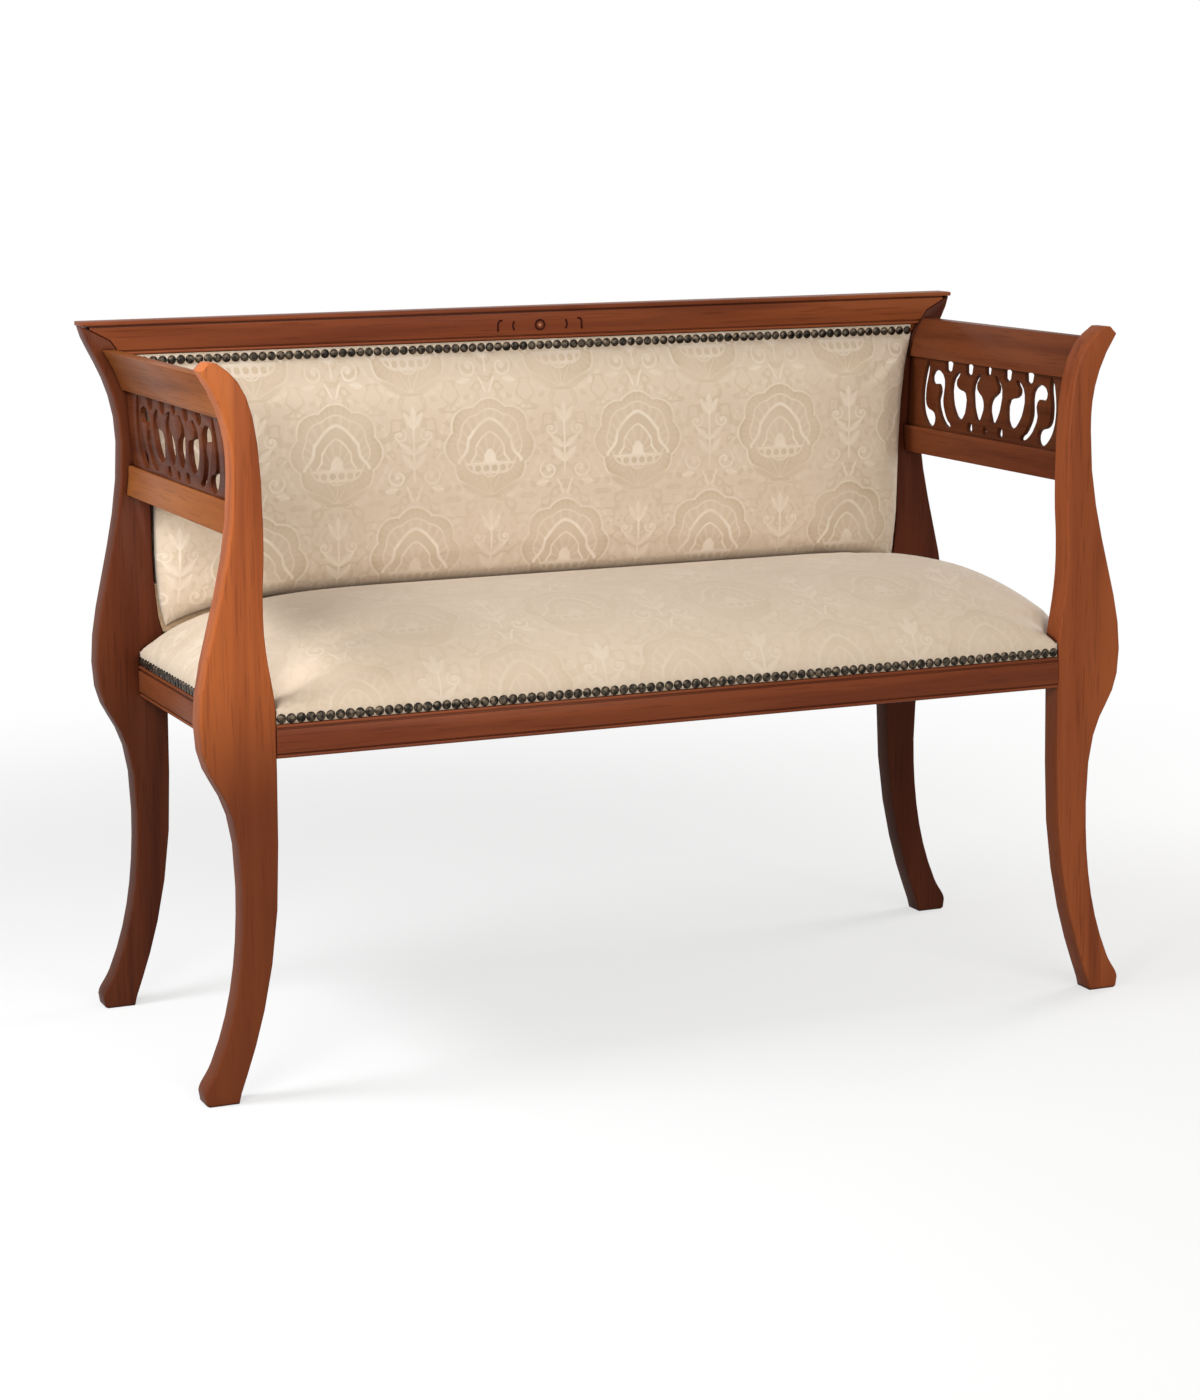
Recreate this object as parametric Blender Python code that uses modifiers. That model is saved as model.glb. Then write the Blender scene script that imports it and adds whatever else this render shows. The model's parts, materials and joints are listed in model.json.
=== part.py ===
"""Two-seat settee: S-shaped board legs, moulded seat frame, pierced arm panels, padded seat and back."""

import math

import bmesh
import bpy
from mathutils import Matrix, Vector

# Overall sizes, metres
SEAT_SPAN = 1.028          # clear width between the two legs at the seat rail
FRAME_DEPTH = 0.487        # front face of the front legs to rear face of the rear legs
LEG_BOARD = 0.0327         # thickness of each leg board, front to back
FIT_GAP = 0.0003           # clearance between two seated pieces

# Heights above the floor
RAIL_BOTTOM = 0.401
RAIL_SHOW = 0.0395         # height of the moulded face below the upholstery
RAIL_TOP_COVERED = 0.0115  # part of the rail that the seat cover hides
FRONT_POST_TOP = 0.8525
CREST_TOP = 0.866
CREST_FACE = 0.0363        # moulded face of the crest rail, with its beads
CREST_TONGUE = 0.030       # rebated part of the crest rail behind the upholstery
CAP_HEIGHT = 0.0055
ARM_UPPER_TOP = 0.837
ARM_UPPER_HEIGHT = 0.050
ARM_LOWER_TOP = 0.693
ARM_LOWER_HEIGHT = 0.0365

# Board and moulding sizes
RAIL_BOARD = 0.025
SIDE_RAIL_SETBACK = 0.037  # outer face of a side rail, measured out from the leg's inner edge
REBATE = 0.005
BEAD = 0.0045
GROOVE = 0.0018
GROOVE_DEPTH = 0.002
CAP_OVERHANG = 0.003
CAP_REACH = 0.0015         # cap past the horn of the rear leg at each end
EDGE_ROUND = 0.0015
ARM_BOARD = 0.018
ARM_INSET = 0.003          # outer face of an arm rail, in from the leg's outer edge
FRET_BOARD = 0.0065
FRET_TONGUE = 0.006
BACK_RAIL_BOTTOM = 0.480
BACK_RAIL_HEIGHT = 0.062
CROSS_RAIL_WIDTH = 0.040
CROSS_RAIL_HEIGHT = 0.030
BLOCK_LEG = 0.085
BLOCK_HEIGHT = 0.038

# Joints
TENON_THICK = 0.010
TENON_SHOULDER = 0.006
TENON_SETBACK = 0.001      # face of a seat rail's tenon, behind the rebate
FRONT_TENON_LENGTH = 0.032
SIDE_TENON_LENGTH = 0.0135
ARM_TENON_LENGTH = 0.010
ARM_TENON_INSET = 0.005    # shoulder round an arm tenon
GROOVE_TO_TENON = 0.003    # wood between the panel's groove and the tenon
BACK_TENON_LENGTH = 0.018
BACK_TENON_INSET = 0.003   # tenon of a back rail, in from the rail's rear face

# Upholstery
FABRIC = 0.0015
SEAT_EDGE_HEIGHT = 0.0175  # from the lower edge of the seat cover to where the crown starts
SEAT_CROWN = 0.082
CROWN_BEHIND_FRONT = 0.220
SEAT_BACK_FALL = 0.25
SEAT_SHOULDER = 0.032      # the seat cover widens over this length behind the front legs
BACK_PAD_BULGE = 0.028
BACK_CORNER_TOP = 0.546    # the lower corners of the back pad are rounded up to this height
BACK_CORNER_HEIGHT = 0.062
BACK_CORNER_WIDTH = 0.0125
BACK_PAD_FLANGE = 0.0145   # flat band of the back cover under its nails
WEB_THICK = 0.0025
SEAT_WEB_WIDTH = 0.070
SEAT_WEBS = 8
BACK_WEB_WIDTH = 0.060
BACK_WEBS = 6
NAIL_STRIP_WIDTH = 0.0112
NAIL_STRIP_THICK = 0.002
PAD_CLEARANCE = 0.001      # soft edges to the wood beside them
BACK_PAD_CLEARANCE = 0.002
FOAM_CLEARANCE = 0.001     # padding inside its cover
BACK_FOAM_INSET = 0.013    # padding of the back, in from the edge of its cover
BACK_NAIL_DROP = 0.0025    # nails of the back, below the crest rail's bead
OUTER_COVER_THICK = 0.001
DUST_COVER_THICK = 0.001
DUST_COVER_INSET = 0.008

# Leg outline: offset outward from the leg's inner edge at the seat rail, height, lean, and how
# far the curve keeps that lean below and above the point.
OUTER_LOWER = (
    (0.0965, 0.0140, -0.10, 0.000, 0.010),
    (0.0805, 0.0450, -0.44, 0.016, 0.060),
    (0.0450, 0.2500, 0.00, 0.076, 0.143),
    (0.0893, 0.4450, 0.00, 0.090, 0.078),
)
OUTER_FRONT = OUTER_LOWER + (
    (0.0420, 0.7220, 0.00, 0.116, 0.020),
    (0.0760, FRONT_POST_TOP - 0.0090, 0.69, 0.055, 0.000),
)
OUTER_REAR = OUTER_LOWER + (
    (0.0480, 0.7200, 0.00, 0.113, 0.079),
    (0.0925, CREST_TOP, 0.17, 0.031, 0.000),
)
RAIL_TOP = RAIL_BOTTOM + RAIL_SHOW + RAIL_TOP_COVERED
RAIL_SEAT_MARGIN = 0.006   # the inner edge stays straight this far past the rail
TOP_LEAN = 4.48            # lean of the horn at the top of a rear leg
INNER_LOWER = (
    (0.0560, 0.0000, 0.00, 0.000, 0.018),
    (0.0010, 0.3000, 0.00, 0.190, 0.030),
    (0.0000, RAIL_BOTTOM - RAIL_SEAT_MARGIN, 0.00, 0.030, 0.010),
    (0.0000, RAIL_TOP + RAIL_SEAT_MARGIN, 0.00, 0.010, 0.022),
)
INNER_FRONT = INNER_LOWER + (
    (0.0115, 0.5650, 0.00, 0.050, 0.055),
    (0.0085, 0.6650, 0.00, 0.064, 0.140),
    (0.0580, FRONT_POST_TOP, 1.63, 0.021, 0.000),
)
INNER_REAR = INNER_LOWER + (
    (0.0090, 0.5080, 0.09, 0.020, 0.030),
    (0.0135, 0.5850, 0.00, 0.030, 0.091),
    (0.0885, CREST_TOP - 0.0010, TOP_LEAN, 0.019, 0.000),
)
POST_TOP_CLIP = 0.0670     # outer end of the flat on top of a front post
TOE_INSET = 0.0055         # outer end of the sole, in from the leg's outer edge
TOE_LIFT = 0.0018          # the toe is eased up to this height
CURVE_STEPS = 7            # straight steps between two points of a leg's outline
ARM_SECTION_STEPS = 5

# Pierced panel: outlines of the openings in one half, millimetres from the panel's middle and
# from the top of the lower rail. Each is a closed smooth curve through its points.
FRET_MIRRORED = (
    ((18, 82), (29, 78), (39, 66), (38, 46), (32, 30), (19, 19), (9, 30), (6, 42), (12, 53), (25, 61),
     (26, 70)),
    ((72, 80), (86, 77), (96, 64), (95, 45), (86, 28), (72, 18), (59, 21), (52, 36), (55, 54), (67, 57),
     (79, 62), (80, 70)),
    ((152, 70), (141, 79), (125, 78), (113, 68), (113, 51), (114, 39), (108, 25), (99, 14), (90, 7),
     (102, 6), (115, 13), (126, 26), (131, 39), (127, 51), (133, 61), (147, 60)),
    ((164, 88), (171, 72), (174, 58), (175, 42), (171, 24), (163, 12), (150, 3), (140, 3), (133, 10),
     (135, 20), (143, 24), (152, 26), (160, 33), (162, 45), (161, 58), (157, 72), (156, 84), (159, 92)),
    ((93, 91), (116, 91), (104.5, 77)),
    ((39.5, 91), (60.5, 91), (50, 76)),
    ((39.5, 17), (47, 8), (39.5, 3), (32, 8)),
)
FRET_MIDDLE = (
    ((-8, 91), (8, 91), (0, 80)),
    ((0, 14.5), (5.5, 8.5), (0, 3), (-5.5, 8.5)),
)
FRET_DRAWN_HEIGHT = 0.094  # visible height that the openings are drawn for
FRET_CURVE_STEPS = 2
MILLIMETRE = 0.001

# Fullness of the pads: a high first power keeps the pad full until close to its edge, and a low
# second power rounds it over steeply.
SEAT_SIDES = (12, 0.60)
SEAT_NOSE = (2, 0.52)
SEAT_REAR = (24, 0.60)
BACK_SIDES = (26, 0.50)
BACK_LOWER_EDGE = (14, 0.50)
BACK_UPPER_EDGE = (7, 0.70)
EDGE_CROWDING = 0.55       # share of the grid that is drawn towards the pad's edges

# Grid density of the soft forms
SEAT_GRID = (30, 15)
BACK_GRID = (24, 12)

LEG_LINE = SEAT_SPAN / 2
FRONT = -FRAME_DEPTH / 2
BACK = FRAME_DEPTH / 2
FRONT_LEG_BACK = FRONT + LEG_BOARD
REAR_LEG_FRONT = BACK - LEG_BOARD
NAIL_LINE = RAIL_BOTTOM + RAIL_SHOW
SIDE_FACE = LEG_LINE + SIDE_RAIL_SETBACK
CREST_BEAD_BOTTOM = CREST_TOP - CREST_FACE
CREST_BOTTOM = CREST_BEAD_BOTTOM - CREST_TONGUE
BACK_FRAME_FRONT = REAR_LEG_FRONT + REBATE
BACK_FRAME_REAR = BACK - REBATE
WEB_TOP = RAIL_TOP + FIT_GAP + WEB_THICK
SIDES = (("left", -1), ("right", 1))

# Colours of the pieces
WOOD = ("lacquered_wood", (0.23, 0.065, 0.022), 0.32, 0.0)
INNER_WOOD = ("bare_beech", (0.52, 0.36, 0.20), 0.70, 0.0)
DAMASK = ("cream_damask", (0.66, 0.54, 0.38), 0.75, 0.0)
FOAM = ("foam", (0.80, 0.74, 0.52), 0.95, 0.0)
WEBBING = ("webbing", (0.34, 0.27, 0.19), 0.90, 0.0)
BLACK_CLOTH = ("black_cloth", (0.02, 0.02, 0.02), 0.95, 0.0)
BRONZE = ("antique_bronze", (0.16, 0.12, 0.08), 0.35, 0.9)


def clear_scene():
    for thing in list(bpy.data.objects):
        bpy.data.objects.remove(thing, do_unlink=True)


def new_collection(name, hidden=False):
    group = bpy.data.collections.new(name)
    bpy.context.scene.collection.children.link(group)
    group.hide_render = hidden
    return group


def finish_of(look):
    name, colour, roughness, metallic = look
    made = bpy.data.materials.get(name)
    if made is None:
        made = bpy.data.materials.new(name)
        made.use_nodes = True
        shader = made.node_tree.nodes["Principled BSDF"]
        shader.inputs["Base Color"].default_value = (*colour, 1.0)
        shader.inputs["Roughness"].default_value = roughness
        shader.inputs["Metallic"].default_value = metallic
    return made


clear_scene()
PARTS = new_collection("settee")
CUTTERS = new_collection("cutters", hidden=True)
ROOT = bpy.data.objects.new("settee_origin", None)
PARTS.objects.link(ROOT)

# Views that stand a flat outline up: its two axes become world X Z, world Y Z, or stay X Y.
FACING_FRONT = Matrix(((1, 0, 0), (0, 0, -1), (0, 1, 0))).to_4x4()
FACING_SIDE = Matrix(((0, 0, 1), (1, 0, 0), (0, 1, 0))).to_4x4()
FLAT = Matrix.Identity(4)


def keep(name, mesh, look, place=None):
    """Make a mesh a named piece of the settee, standing in its place."""
    piece = bpy.data.objects.new(name, mesh)
    PARTS.objects.link(piece)
    piece.parent = ROOT
    piece.matrix_world = place if place is not None else Matrix.Identity(4)
    mesh.name = name
    mesh.materials.clear()
    mesh.materials.append(finish_of(look))
    return piece


def smooth(piece, degrees=35):
    piece.data.shade_smooth()
    piece.data.set_sharp_from_angle(angle=math.radians(degrees))


def board_mesh(name, loops, thickness, edge=0.0, closed_curves=(), steps=1):
    """Flat outline, with any openings, given a thickness and softened edges, as a welded mesh."""
    drawing = bpy.data.curves.new(name, "CURVE")
    drawing.dimensions = "2D"
    drawing.fill_mode = "BOTH"
    drawing.extrude = thickness / 2 - edge
    drawing.bevel_depth = edge
    drawing.offset = -edge
    drawing.bevel_resolution = 0
    drawing.resolution_u = steps
    for loop in loops:
        line = drawing.splines.new("POLY")
        line.points.add(len(loop) - 1)
        for point, (a, b) in zip(line.points, loop):
            point.co = (a, b, 0.0, 1.0)
        line.use_cyclic_u = True
    for loop in closed_curves:
        line = drawing.splines.new("BEZIER")
        line.bezier_points.add(len(loop) - 1)
        for point, (a, b) in zip(line.bezier_points, loop):
            point.co = (a, b, 0.0)
            point.handle_left_type = "AUTO"
            point.handle_right_type = "AUTO"
        line.use_cyclic_u = True
    holder = bpy.data.objects.new(name + "_drawing", drawing)
    bpy.context.scene.collection.objects.link(holder)
    bpy.context.view_layer.update()
    graph = bpy.context.evaluated_depsgraph_get()
    mesh = bpy.data.meshes.new_from_object(holder.evaluated_get(graph))
    bpy.data.objects.remove(holder, do_unlink=True)
    tidy = bmesh.new()
    tidy.from_mesh(mesh)
    bmesh.ops.remove_doubles(tidy, verts=tidy.verts, dist=1e-6)
    bmesh.ops.recalc_face_normals(tidy, faces=tidy.faces)
    tidy.to_mesh(mesh)
    tidy.free()
    return mesh


def board(name, outline, thickness, view, middle, look, edge=0.0):
    """A board whose outline is drawn in a view; middle places the centre of its thickness."""
    mesh = board_mesh(name, [outline], thickness, edge)
    return keep(name, mesh, look, Matrix.Translation(middle) @ view)


def box_mesh(name, low, high):
    mesh = bpy.data.meshes.new(name)
    shape = bmesh.new()
    low, high = Vector(low), Vector(high)
    sizes = Matrix.Diagonal((*(high - low), 1.0))
    bmesh.ops.create_cube(shape, size=1.0, matrix=Matrix.Translation((low + high) / 2) @ sizes)
    shape.to_mesh(mesh)
    shape.free()
    return mesh


def cutter(name, mesh, place=None):
    tool = bpy.data.objects.new(name, mesh)
    CUTTERS.objects.link(tool)
    tool.matrix_world = place if place is not None else Matrix.Identity(4)
    tool.hide_render = True
    tool.display_type = "WIRE"
    return tool


def apply_boolean(piece, tool, operation):
    change = piece.modifiers.new(operation.lower(), "BOOLEAN")
    change.operation = operation
    change.solver = "EXACT"
    change.object = tool


def box_cutter(name, low, high):
    return cutter(name, box_mesh(name, low, high))


def add_box(piece, name, low, high):
    """Join a square tenon to a rail."""
    apply_boolean(piece, box_cutter(name, low, high), "UNION")


def cut_box(piece, name, low, high):
    apply_boolean(piece, box_cutter(name, low, high), "DIFFERENCE")


def grown(low, high, by):
    return [v - by for v in low], [v + by for v in high]


def mirrored(low, high, side):
    """The same box on the chosen side of the settee."""
    if side > 0:
        return low, high
    return (-high[0], low[1], low[2]), (-low[0], high[1], high[2])


# Leg outlines
def edge_curve(knots):
    """Points up a smooth edge that leaves each knot along its lean."""
    points = []
    for start, end in zip(knots[:-1], knots[1:]):
        a = Vector(start[:2])
        d = Vector(end[:2])
        b = a + start[4] * Vector((start[2], 1.0))
        c = d - end[3] * Vector((end[2], 1.0))
        for step in range(CURVE_STEPS):
            t = step / CURVE_STEPS
            s = 1 - t
            points.append(s**3 * a + 3 * s * s * t * b + 3 * s * t * t * c + t**3 * d)
    points.append(Vector(knots[-1][:2]))
    return [(p.x, p.y) for p in points]


def offset_at(knots, height):
    """How far out a leg's edge lies at a height, along straight steps of its curve."""
    points = edge_curve(knots)
    for (x0, z0), (x1, z1) in zip(points[:-1], points[1:]):
        if z0 <= height <= z1:
            return x0 + (x1 - x0) * (height - z0) / (z1 - z0)
    return points[-1][0] if height > points[-1][1] else points[0][0]


def leg_outline(outer, inner, top_points, side):
    toe = [(outer[0][0] - TOE_INSET, 0.0), (outer[0][0] - TOE_INSET / 3, TOE_LIFT)]
    loop = toe + edge_curve(outer) + top_points + edge_curve(inner)[::-1]
    return [(side * (LEG_LINE + x), z) for x, z in loop]


def make_leg(name, rear, side):
    outer, inner = (OUTER_REAR, INNER_REAR) if rear else (OUTER_FRONT, INNER_FRONT)
    top = [] if rear else [(POST_TOP_CLIP, FRONT_POST_TOP)]
    middle_y = (BACK if rear else FRONT_LEG_BACK) - LEG_BOARD / 2
    outline = leg_outline(outer, inner, top, side)
    leg = board(name, outline, LEG_BOARD, FACING_FRONT, (0, middle_y, 0), WOOD, EDGE_ROUND)
    smooth(leg)
    return leg


LEGS = {}
for side_name, side in SIDES:
    LEGS["front", side] = make_leg(f"front_leg_{side_name}", False, side)
    LEGS["rear", side] = make_leg(f"rear_leg_{side_name}", True, side)


# Moulded rails of the seat
def bead_points(bottom):
    """Half-round bead on a face: depth into the rail and height."""
    radius = BEAD / 2
    turns = [math.radians(-90 + 45 * n) for n in range(5)]
    return [(radius - radius * math.cos(t), bottom + radius + radius * math.sin(t)) for t in turns]


def moulded_section():
    """Section of a seat rail: depth from its face and height, with beads, grooves and rebate."""
    lower_groove = RAIL_BOTTOM + BEAD
    upper_bead = NAIL_LINE - BEAD
    return (
        bead_points(RAIL_BOTTOM)
        + [(GROOVE_DEPTH, lower_groove), (GROOVE_DEPTH, lower_groove + GROOVE), (0, lower_groove + GROOVE)]
        + [(0, upper_bead - GROOVE), (GROOVE_DEPTH, upper_bead - GROOVE), (GROOVE_DEPTH, upper_bead)]
        + bead_points(upper_bead)
        + [(REBATE, NAIL_LINE), (REBATE, RAIL_TOP), (RAIL_BOARD, RAIL_TOP), (RAIL_BOARD, RAIL_BOTTOM)]
    )


def tenon_height():
    return RAIL_BOTTOM + TENON_SHOULDER, RAIL_TOP - TENON_SHOULDER


def make_long_rail(name, face_y, inward, leg_row):
    """Front or rear rail, with a tenon into the leg at each end."""
    section = [(face_y + inward * depth, z) for depth, z in moulded_section()]
    length = SEAT_SPAN - 2 * FIT_GAP
    rail = board(name, section, length, FACING_SIDE, (0, 0, 0), WOOD)
    low_z, high_z = tenon_height()
    near = face_y + inward * (REBATE + TENON_SETBACK)
    far = near + inward * TENON_THICK
    for side_name, side in SIDES:
        low = (LEG_LINE - 2 * TENON_SHOULDER, min(near, far), low_z)
        high = (LEG_LINE + FRONT_TENON_LENGTH, max(near, far), high_z)
        add_box(rail, f"{name}_tenon_{side_name}", *mirrored(low, high, side))
        cut_box(LEGS[leg_row, side], f"{name}_mortise_{side_name}",
                *mirrored(*grown(low, high, FIT_GAP), side))
    return rail


FRONT_RAIL = make_long_rail("seat_rail_front", FRONT, 1, "front")
REAR_RAIL = make_long_rail("seat_rail_rear", BACK, -1, "rear")


def make_side_rail(side_name, side):
    name = f"seat_rail_{side_name}"
    section = [(side * (SIDE_FACE - depth), z) for depth, z in moulded_section()]
    length = REAR_LEG_FRONT - FRONT_LEG_BACK - 2 * FIT_GAP
    rail = board(name, section, length, FACING_FRONT, (0, 0, 0), WOOD)
    low_z, high_z = tenon_height()
    centre = SIDE_FACE - RAIL_BOARD / 2 - REBATE / 2
    reach = length / 2 + SIDE_TENON_LENGTH
    low = (centre - TENON_THICK / 2, -reach, low_z)
    high = (centre + TENON_THICK / 2, reach, high_z)
    add_box(rail, f"{name}_tenons", *mirrored(low, high, side))
    for row in ("front", "rear"):
        cut_box(LEGS[row, side], f"{name}_mortise_{row}", *mirrored(*grown(low, high, FIT_GAP), side))
    return rail


for side_name, side in SIDES:
    make_side_rail(side_name, side)


def make_cross_rail():
    """Middle brace between the long rails, under the webbing."""
    reach = BACK - RAIL_BOARD - FIT_GAP
    bottom = RAIL_BOTTOM + TENON_SHOULDER
    half = CROSS_RAIL_WIDTH / 2
    outline = [(-half, -reach), (half, -reach), (half, reach), (-half, reach)]
    brace = board("seat_cross_rail", outline, CROSS_RAIL_HEIGHT, FLAT,
                  (0, 0, bottom + CROSS_RAIL_HEIGHT / 2), INNER_WOOD)
    tongue = RAIL_BOARD / 3
    low = (-half + TENON_SHOULDER, -reach - tongue, bottom + TENON_SHOULDER)
    high = (half - TENON_SHOULDER, reach + tongue, bottom + CROSS_RAIL_HEIGHT - TENON_SHOULDER)
    add_box(brace, "cross_rail_tenons", low, high)
    for rail in (FRONT_RAIL, REAR_RAIL):
        cut_box(rail, f"{rail.name}_cross_mortise", *grown(low, high, FIT_GAP))


make_cross_rail()


def make_corner_block(row, side_name, side):
    """Glued block that fills the inside corner, notched round the leg."""
    step = FIT_GAP
    rail_face = -FRONT - RAIL_BOARD - step
    leg_face = -FRONT - LEG_BOARD - step
    leg_edge = LEG_LINE - step
    side_rail = SIDE_FACE - RAIL_BOARD - step
    corner = [
        (leg_edge - BLOCK_LEG, rail_face), (leg_edge, rail_face), (leg_edge, leg_face),
        (side_rail, leg_face), (side_rail, leg_face - BLOCK_LEG),
        (side_rail - BLOCK_LEG / 4, leg_face - BLOCK_LEG),
        (leg_edge - BLOCK_LEG, rail_face - BLOCK_LEG / 4),
    ]
    front_back = -1 if row == "front" else 1
    outline = [(side * x, front_back * y) for x, y in corner]
    middle = RAIL_TOP - TENON_SHOULDER - BLOCK_HEIGHT / 2
    board(f"corner_block_{row}_{side_name}", outline, BLOCK_HEIGHT, FLAT, (0, 0, middle), INNER_WOOD)


for row in ("front", "rear"):
    for side_name, side in SIDES:
        make_corner_block(row, side_name, side)


# Arms
def arm_section(bottom, top, inset, side):
    """Section of an arm rail, bent to the outer edge of the front leg."""
    levels = [bottom + (top - bottom) * n / ARM_SECTION_STEPS for n in range(ARM_SECTION_STEPS + 1)]
    outer = [(LEG_LINE + offset_at(OUTER_FRONT, z) - ARM_INSET - inset, z) for z in levels]
    inner = [(x - ARM_BOARD + 2 * inset, z) for x, z in outer]
    return [(side * x, z) for x, z in outer + inner[::-1]]


def make_arm_rail(name, bottom, top, groove_on_top, side):
    """Arm rail with a tenon into each leg, clear of the groove for the pierced panel."""
    clear = REAR_LEG_FRONT - FRONT_LEG_BACK - 2 * FIT_GAP
    rail = board(name, arm_section(bottom, top, 0.0, side), clear, FACING_FRONT, (0, 0, 0), WOOD)
    grooved = FRET_TONGUE + GROOVE_TO_TENON
    tenon_bottom = bottom + (ARM_TENON_INSET if groove_on_top else grooved)
    tenon_top = top - (grooved if groove_on_top else ARM_TENON_INSET)
    reach = clear + 2 * ARM_TENON_LENGTH
    tenon_outline = arm_section(tenon_bottom, tenon_top, ARM_TENON_INSET, side)
    tenon = board_mesh(name + "_tenons", [tenon_outline], reach)
    apply_boolean(rail, cutter(name + "_tenons", tenon, FACING_FRONT), "UNION")
    loose_inset = ARM_TENON_INSET - FIT_GAP
    pocket_outline = arm_section(tenon_bottom - FIT_GAP, tenon_top + FIT_GAP, loose_inset, side)
    pocket = board_mesh(name + "_pocket", [pocket_outline], reach + 2 * FIT_GAP)
    for row in ("front", "rear"):
        tool = cutter(f"{name}_mortise_{row}", pocket, FACING_FRONT)
        apply_boolean(LEGS[row, side], tool, "DIFFERENCE")
    return rail


def fret_line():
    """Middle of the pierced panel at its lower and upper edge."""
    levels = (ARM_LOWER_TOP, ARM_UPPER_TOP - ARM_UPPER_HEIGHT)
    return [Vector((LEG_LINE + offset_at(OUTER_FRONT, z) - ARM_INSET - ARM_BOARD / 2, z)) for z in levels]


def make_fret(side_name, side, rails):
    """Pierced panel, held in grooves of the two arm rails."""
    low, high = fret_line()
    shown = (high - low).length
    lean = math.atan2(high.x - low.x, high.y - low.y)
    length = REAR_LEG_FRONT - FRONT_LEG_BACK - 2 * FIT_GAP
    half = length / 2

    def border(grow, past_ends):
        bottom = -FRET_TONGUE - grow
        top = shown + FRET_TONGUE + grow
        end = half + past_ends
        return [(-end, bottom), (end, bottom), (end, top), (-end, top)]

    rise = shown / FRET_DRAWN_HEIGHT
    openings = []
    for outline in FRET_MIRRORED:
        for flip in (1, -1):
            openings.append([(flip * a * MILLIMETRE, b * MILLIMETRE * rise) for a, b in outline])
    for outline in FRET_MIDDLE:
        openings.append([(a * MILLIMETRE, b * MILLIMETRE * rise) for a, b in outline])
    place = (
        Matrix.Translation((side * low.x, 0, low.y))
        @ Matrix.Rotation(side * lean, 4, "Y")
        @ FACING_SIDE
    )
    mesh = board_mesh("arm_fret", [border(0.0, 0.0)], FRET_BOARD, 0.0, openings, FRET_CURVE_STEPS)
    keep(f"arm_fret_{side_name}", mesh, WOOD, place)
    groove = board_mesh("fret_groove", [border(FIT_GAP, FRET_TONGUE)], FRET_BOARD + 2 * FIT_GAP)
    for rail in rails:
        tool = cutter(f"{rail.name}_groove", groove, place)
        apply_boolean(rail, tool, "DIFFERENCE")


for side_name, side in SIDES:
    upper_bottom = ARM_UPPER_TOP - ARM_UPPER_HEIGHT
    lower_bottom = ARM_LOWER_TOP - ARM_LOWER_HEIGHT
    upper = make_arm_rail(f"arm_rail_upper_{side_name}", upper_bottom, ARM_UPPER_TOP, False, side)
    lower = make_arm_rail(f"arm_rail_lower_{side_name}", lower_bottom, ARM_LOWER_TOP, True, side)
    make_fret(side_name, side, (upper, lower))


# Crest rail, its cap and the lower back rail
def crest_section():
    """Section of the crest rail: world Y and height."""
    front, rear = REAR_LEG_FRONT, BACK
    line = CREST_TOP - GROOVE
    fascia_bottom = CREST_BEAD_BOTTOM + BEAD + GROOVE
    face = [(front + depth, z) for depth, z in bead_points(CREST_BEAD_BOTTOM)]
    return (
        [(BACK_FRAME_FRONT, CREST_BOTTOM), (BACK_FRAME_FRONT, CREST_BEAD_BOTTOM)]
        + face
        + [(front + GROOVE_DEPTH, CREST_BEAD_BOTTOM + BEAD), (front + GROOVE_DEPTH, fascia_bottom)]
        + [(front, fascia_bottom), (front, line), (front + GROOVE_DEPTH, line)]
        + [(front + GROOVE_DEPTH, CREST_TOP), (rear, CREST_TOP), (rear, CREST_BEAD_BOTTOM)]
        + [(BACK_FRAME_REAR, CREST_BEAD_BOTTOM), (BACK_FRAME_REAR, CREST_BOTTOM)]
    )


def post_side_tool(name, side):
    """Everything outside the inner edge of a rear leg, grown by the fit gap, to cope rail ends."""
    beyond = 2 * LEG_LINE
    edge = [(x - FIT_GAP, z + FIT_GAP) for x, z in edge_curve(INNER_REAR) if z > RAIL_TOP]
    last_x, last_z = edge[-1]
    rise = CAP_HEIGHT
    loop = edge + [(last_x + rise * TOP_LEAN, last_z + rise), (beyond, last_z + rise), (beyond, edge[0][1])]
    mesh = board_mesh(name, [[(side * (LEG_LINE + x), z) for x, z in loop]], 3 * LEG_BOARD)
    return cutter(name, mesh, Matrix.Translation((0, BACK - LEG_BOARD / 2, 0)) @ FACING_FRONT)


def make_coped_rail(name, section, look, tenon_bottom, tenon_top):
    """Rail between the rear legs, its ends cut to their curved inner edges, with tenons."""
    widest = 2 * (LEG_LINE + INNER_REAR[-1][0] - CAP_HEIGHT)
    rail = board(name, section, widest, FACING_SIDE, (0, 0, 0), look)
    tenon_rear = BACK_FRAME_REAR - BACK_TENON_INSET
    for side_name, side in SIDES:
        apply_boolean(rail, post_side_tool(f"{name}_cope_{side_name}", side), "DIFFERENCE")
    for side_name, side in SIDES:
        inner = LEG_LINE + max(offset_at(INNER_REAR, z) for z in (tenon_bottom, tenon_top))
        low = (inner - 2 * BACK_TENON_LENGTH, tenon_rear - TENON_THICK, tenon_bottom)
        high = (inner + BACK_TENON_LENGTH, tenon_rear, tenon_top)
        add_box(rail, f"{name}_tenon_{side_name}", *mirrored(low, high, side))
        cut_box(LEGS["rear", side], f"{name}_mortise_{side_name}",
                *mirrored(*grown(low, high, FIT_GAP), side))
    return rail


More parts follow.
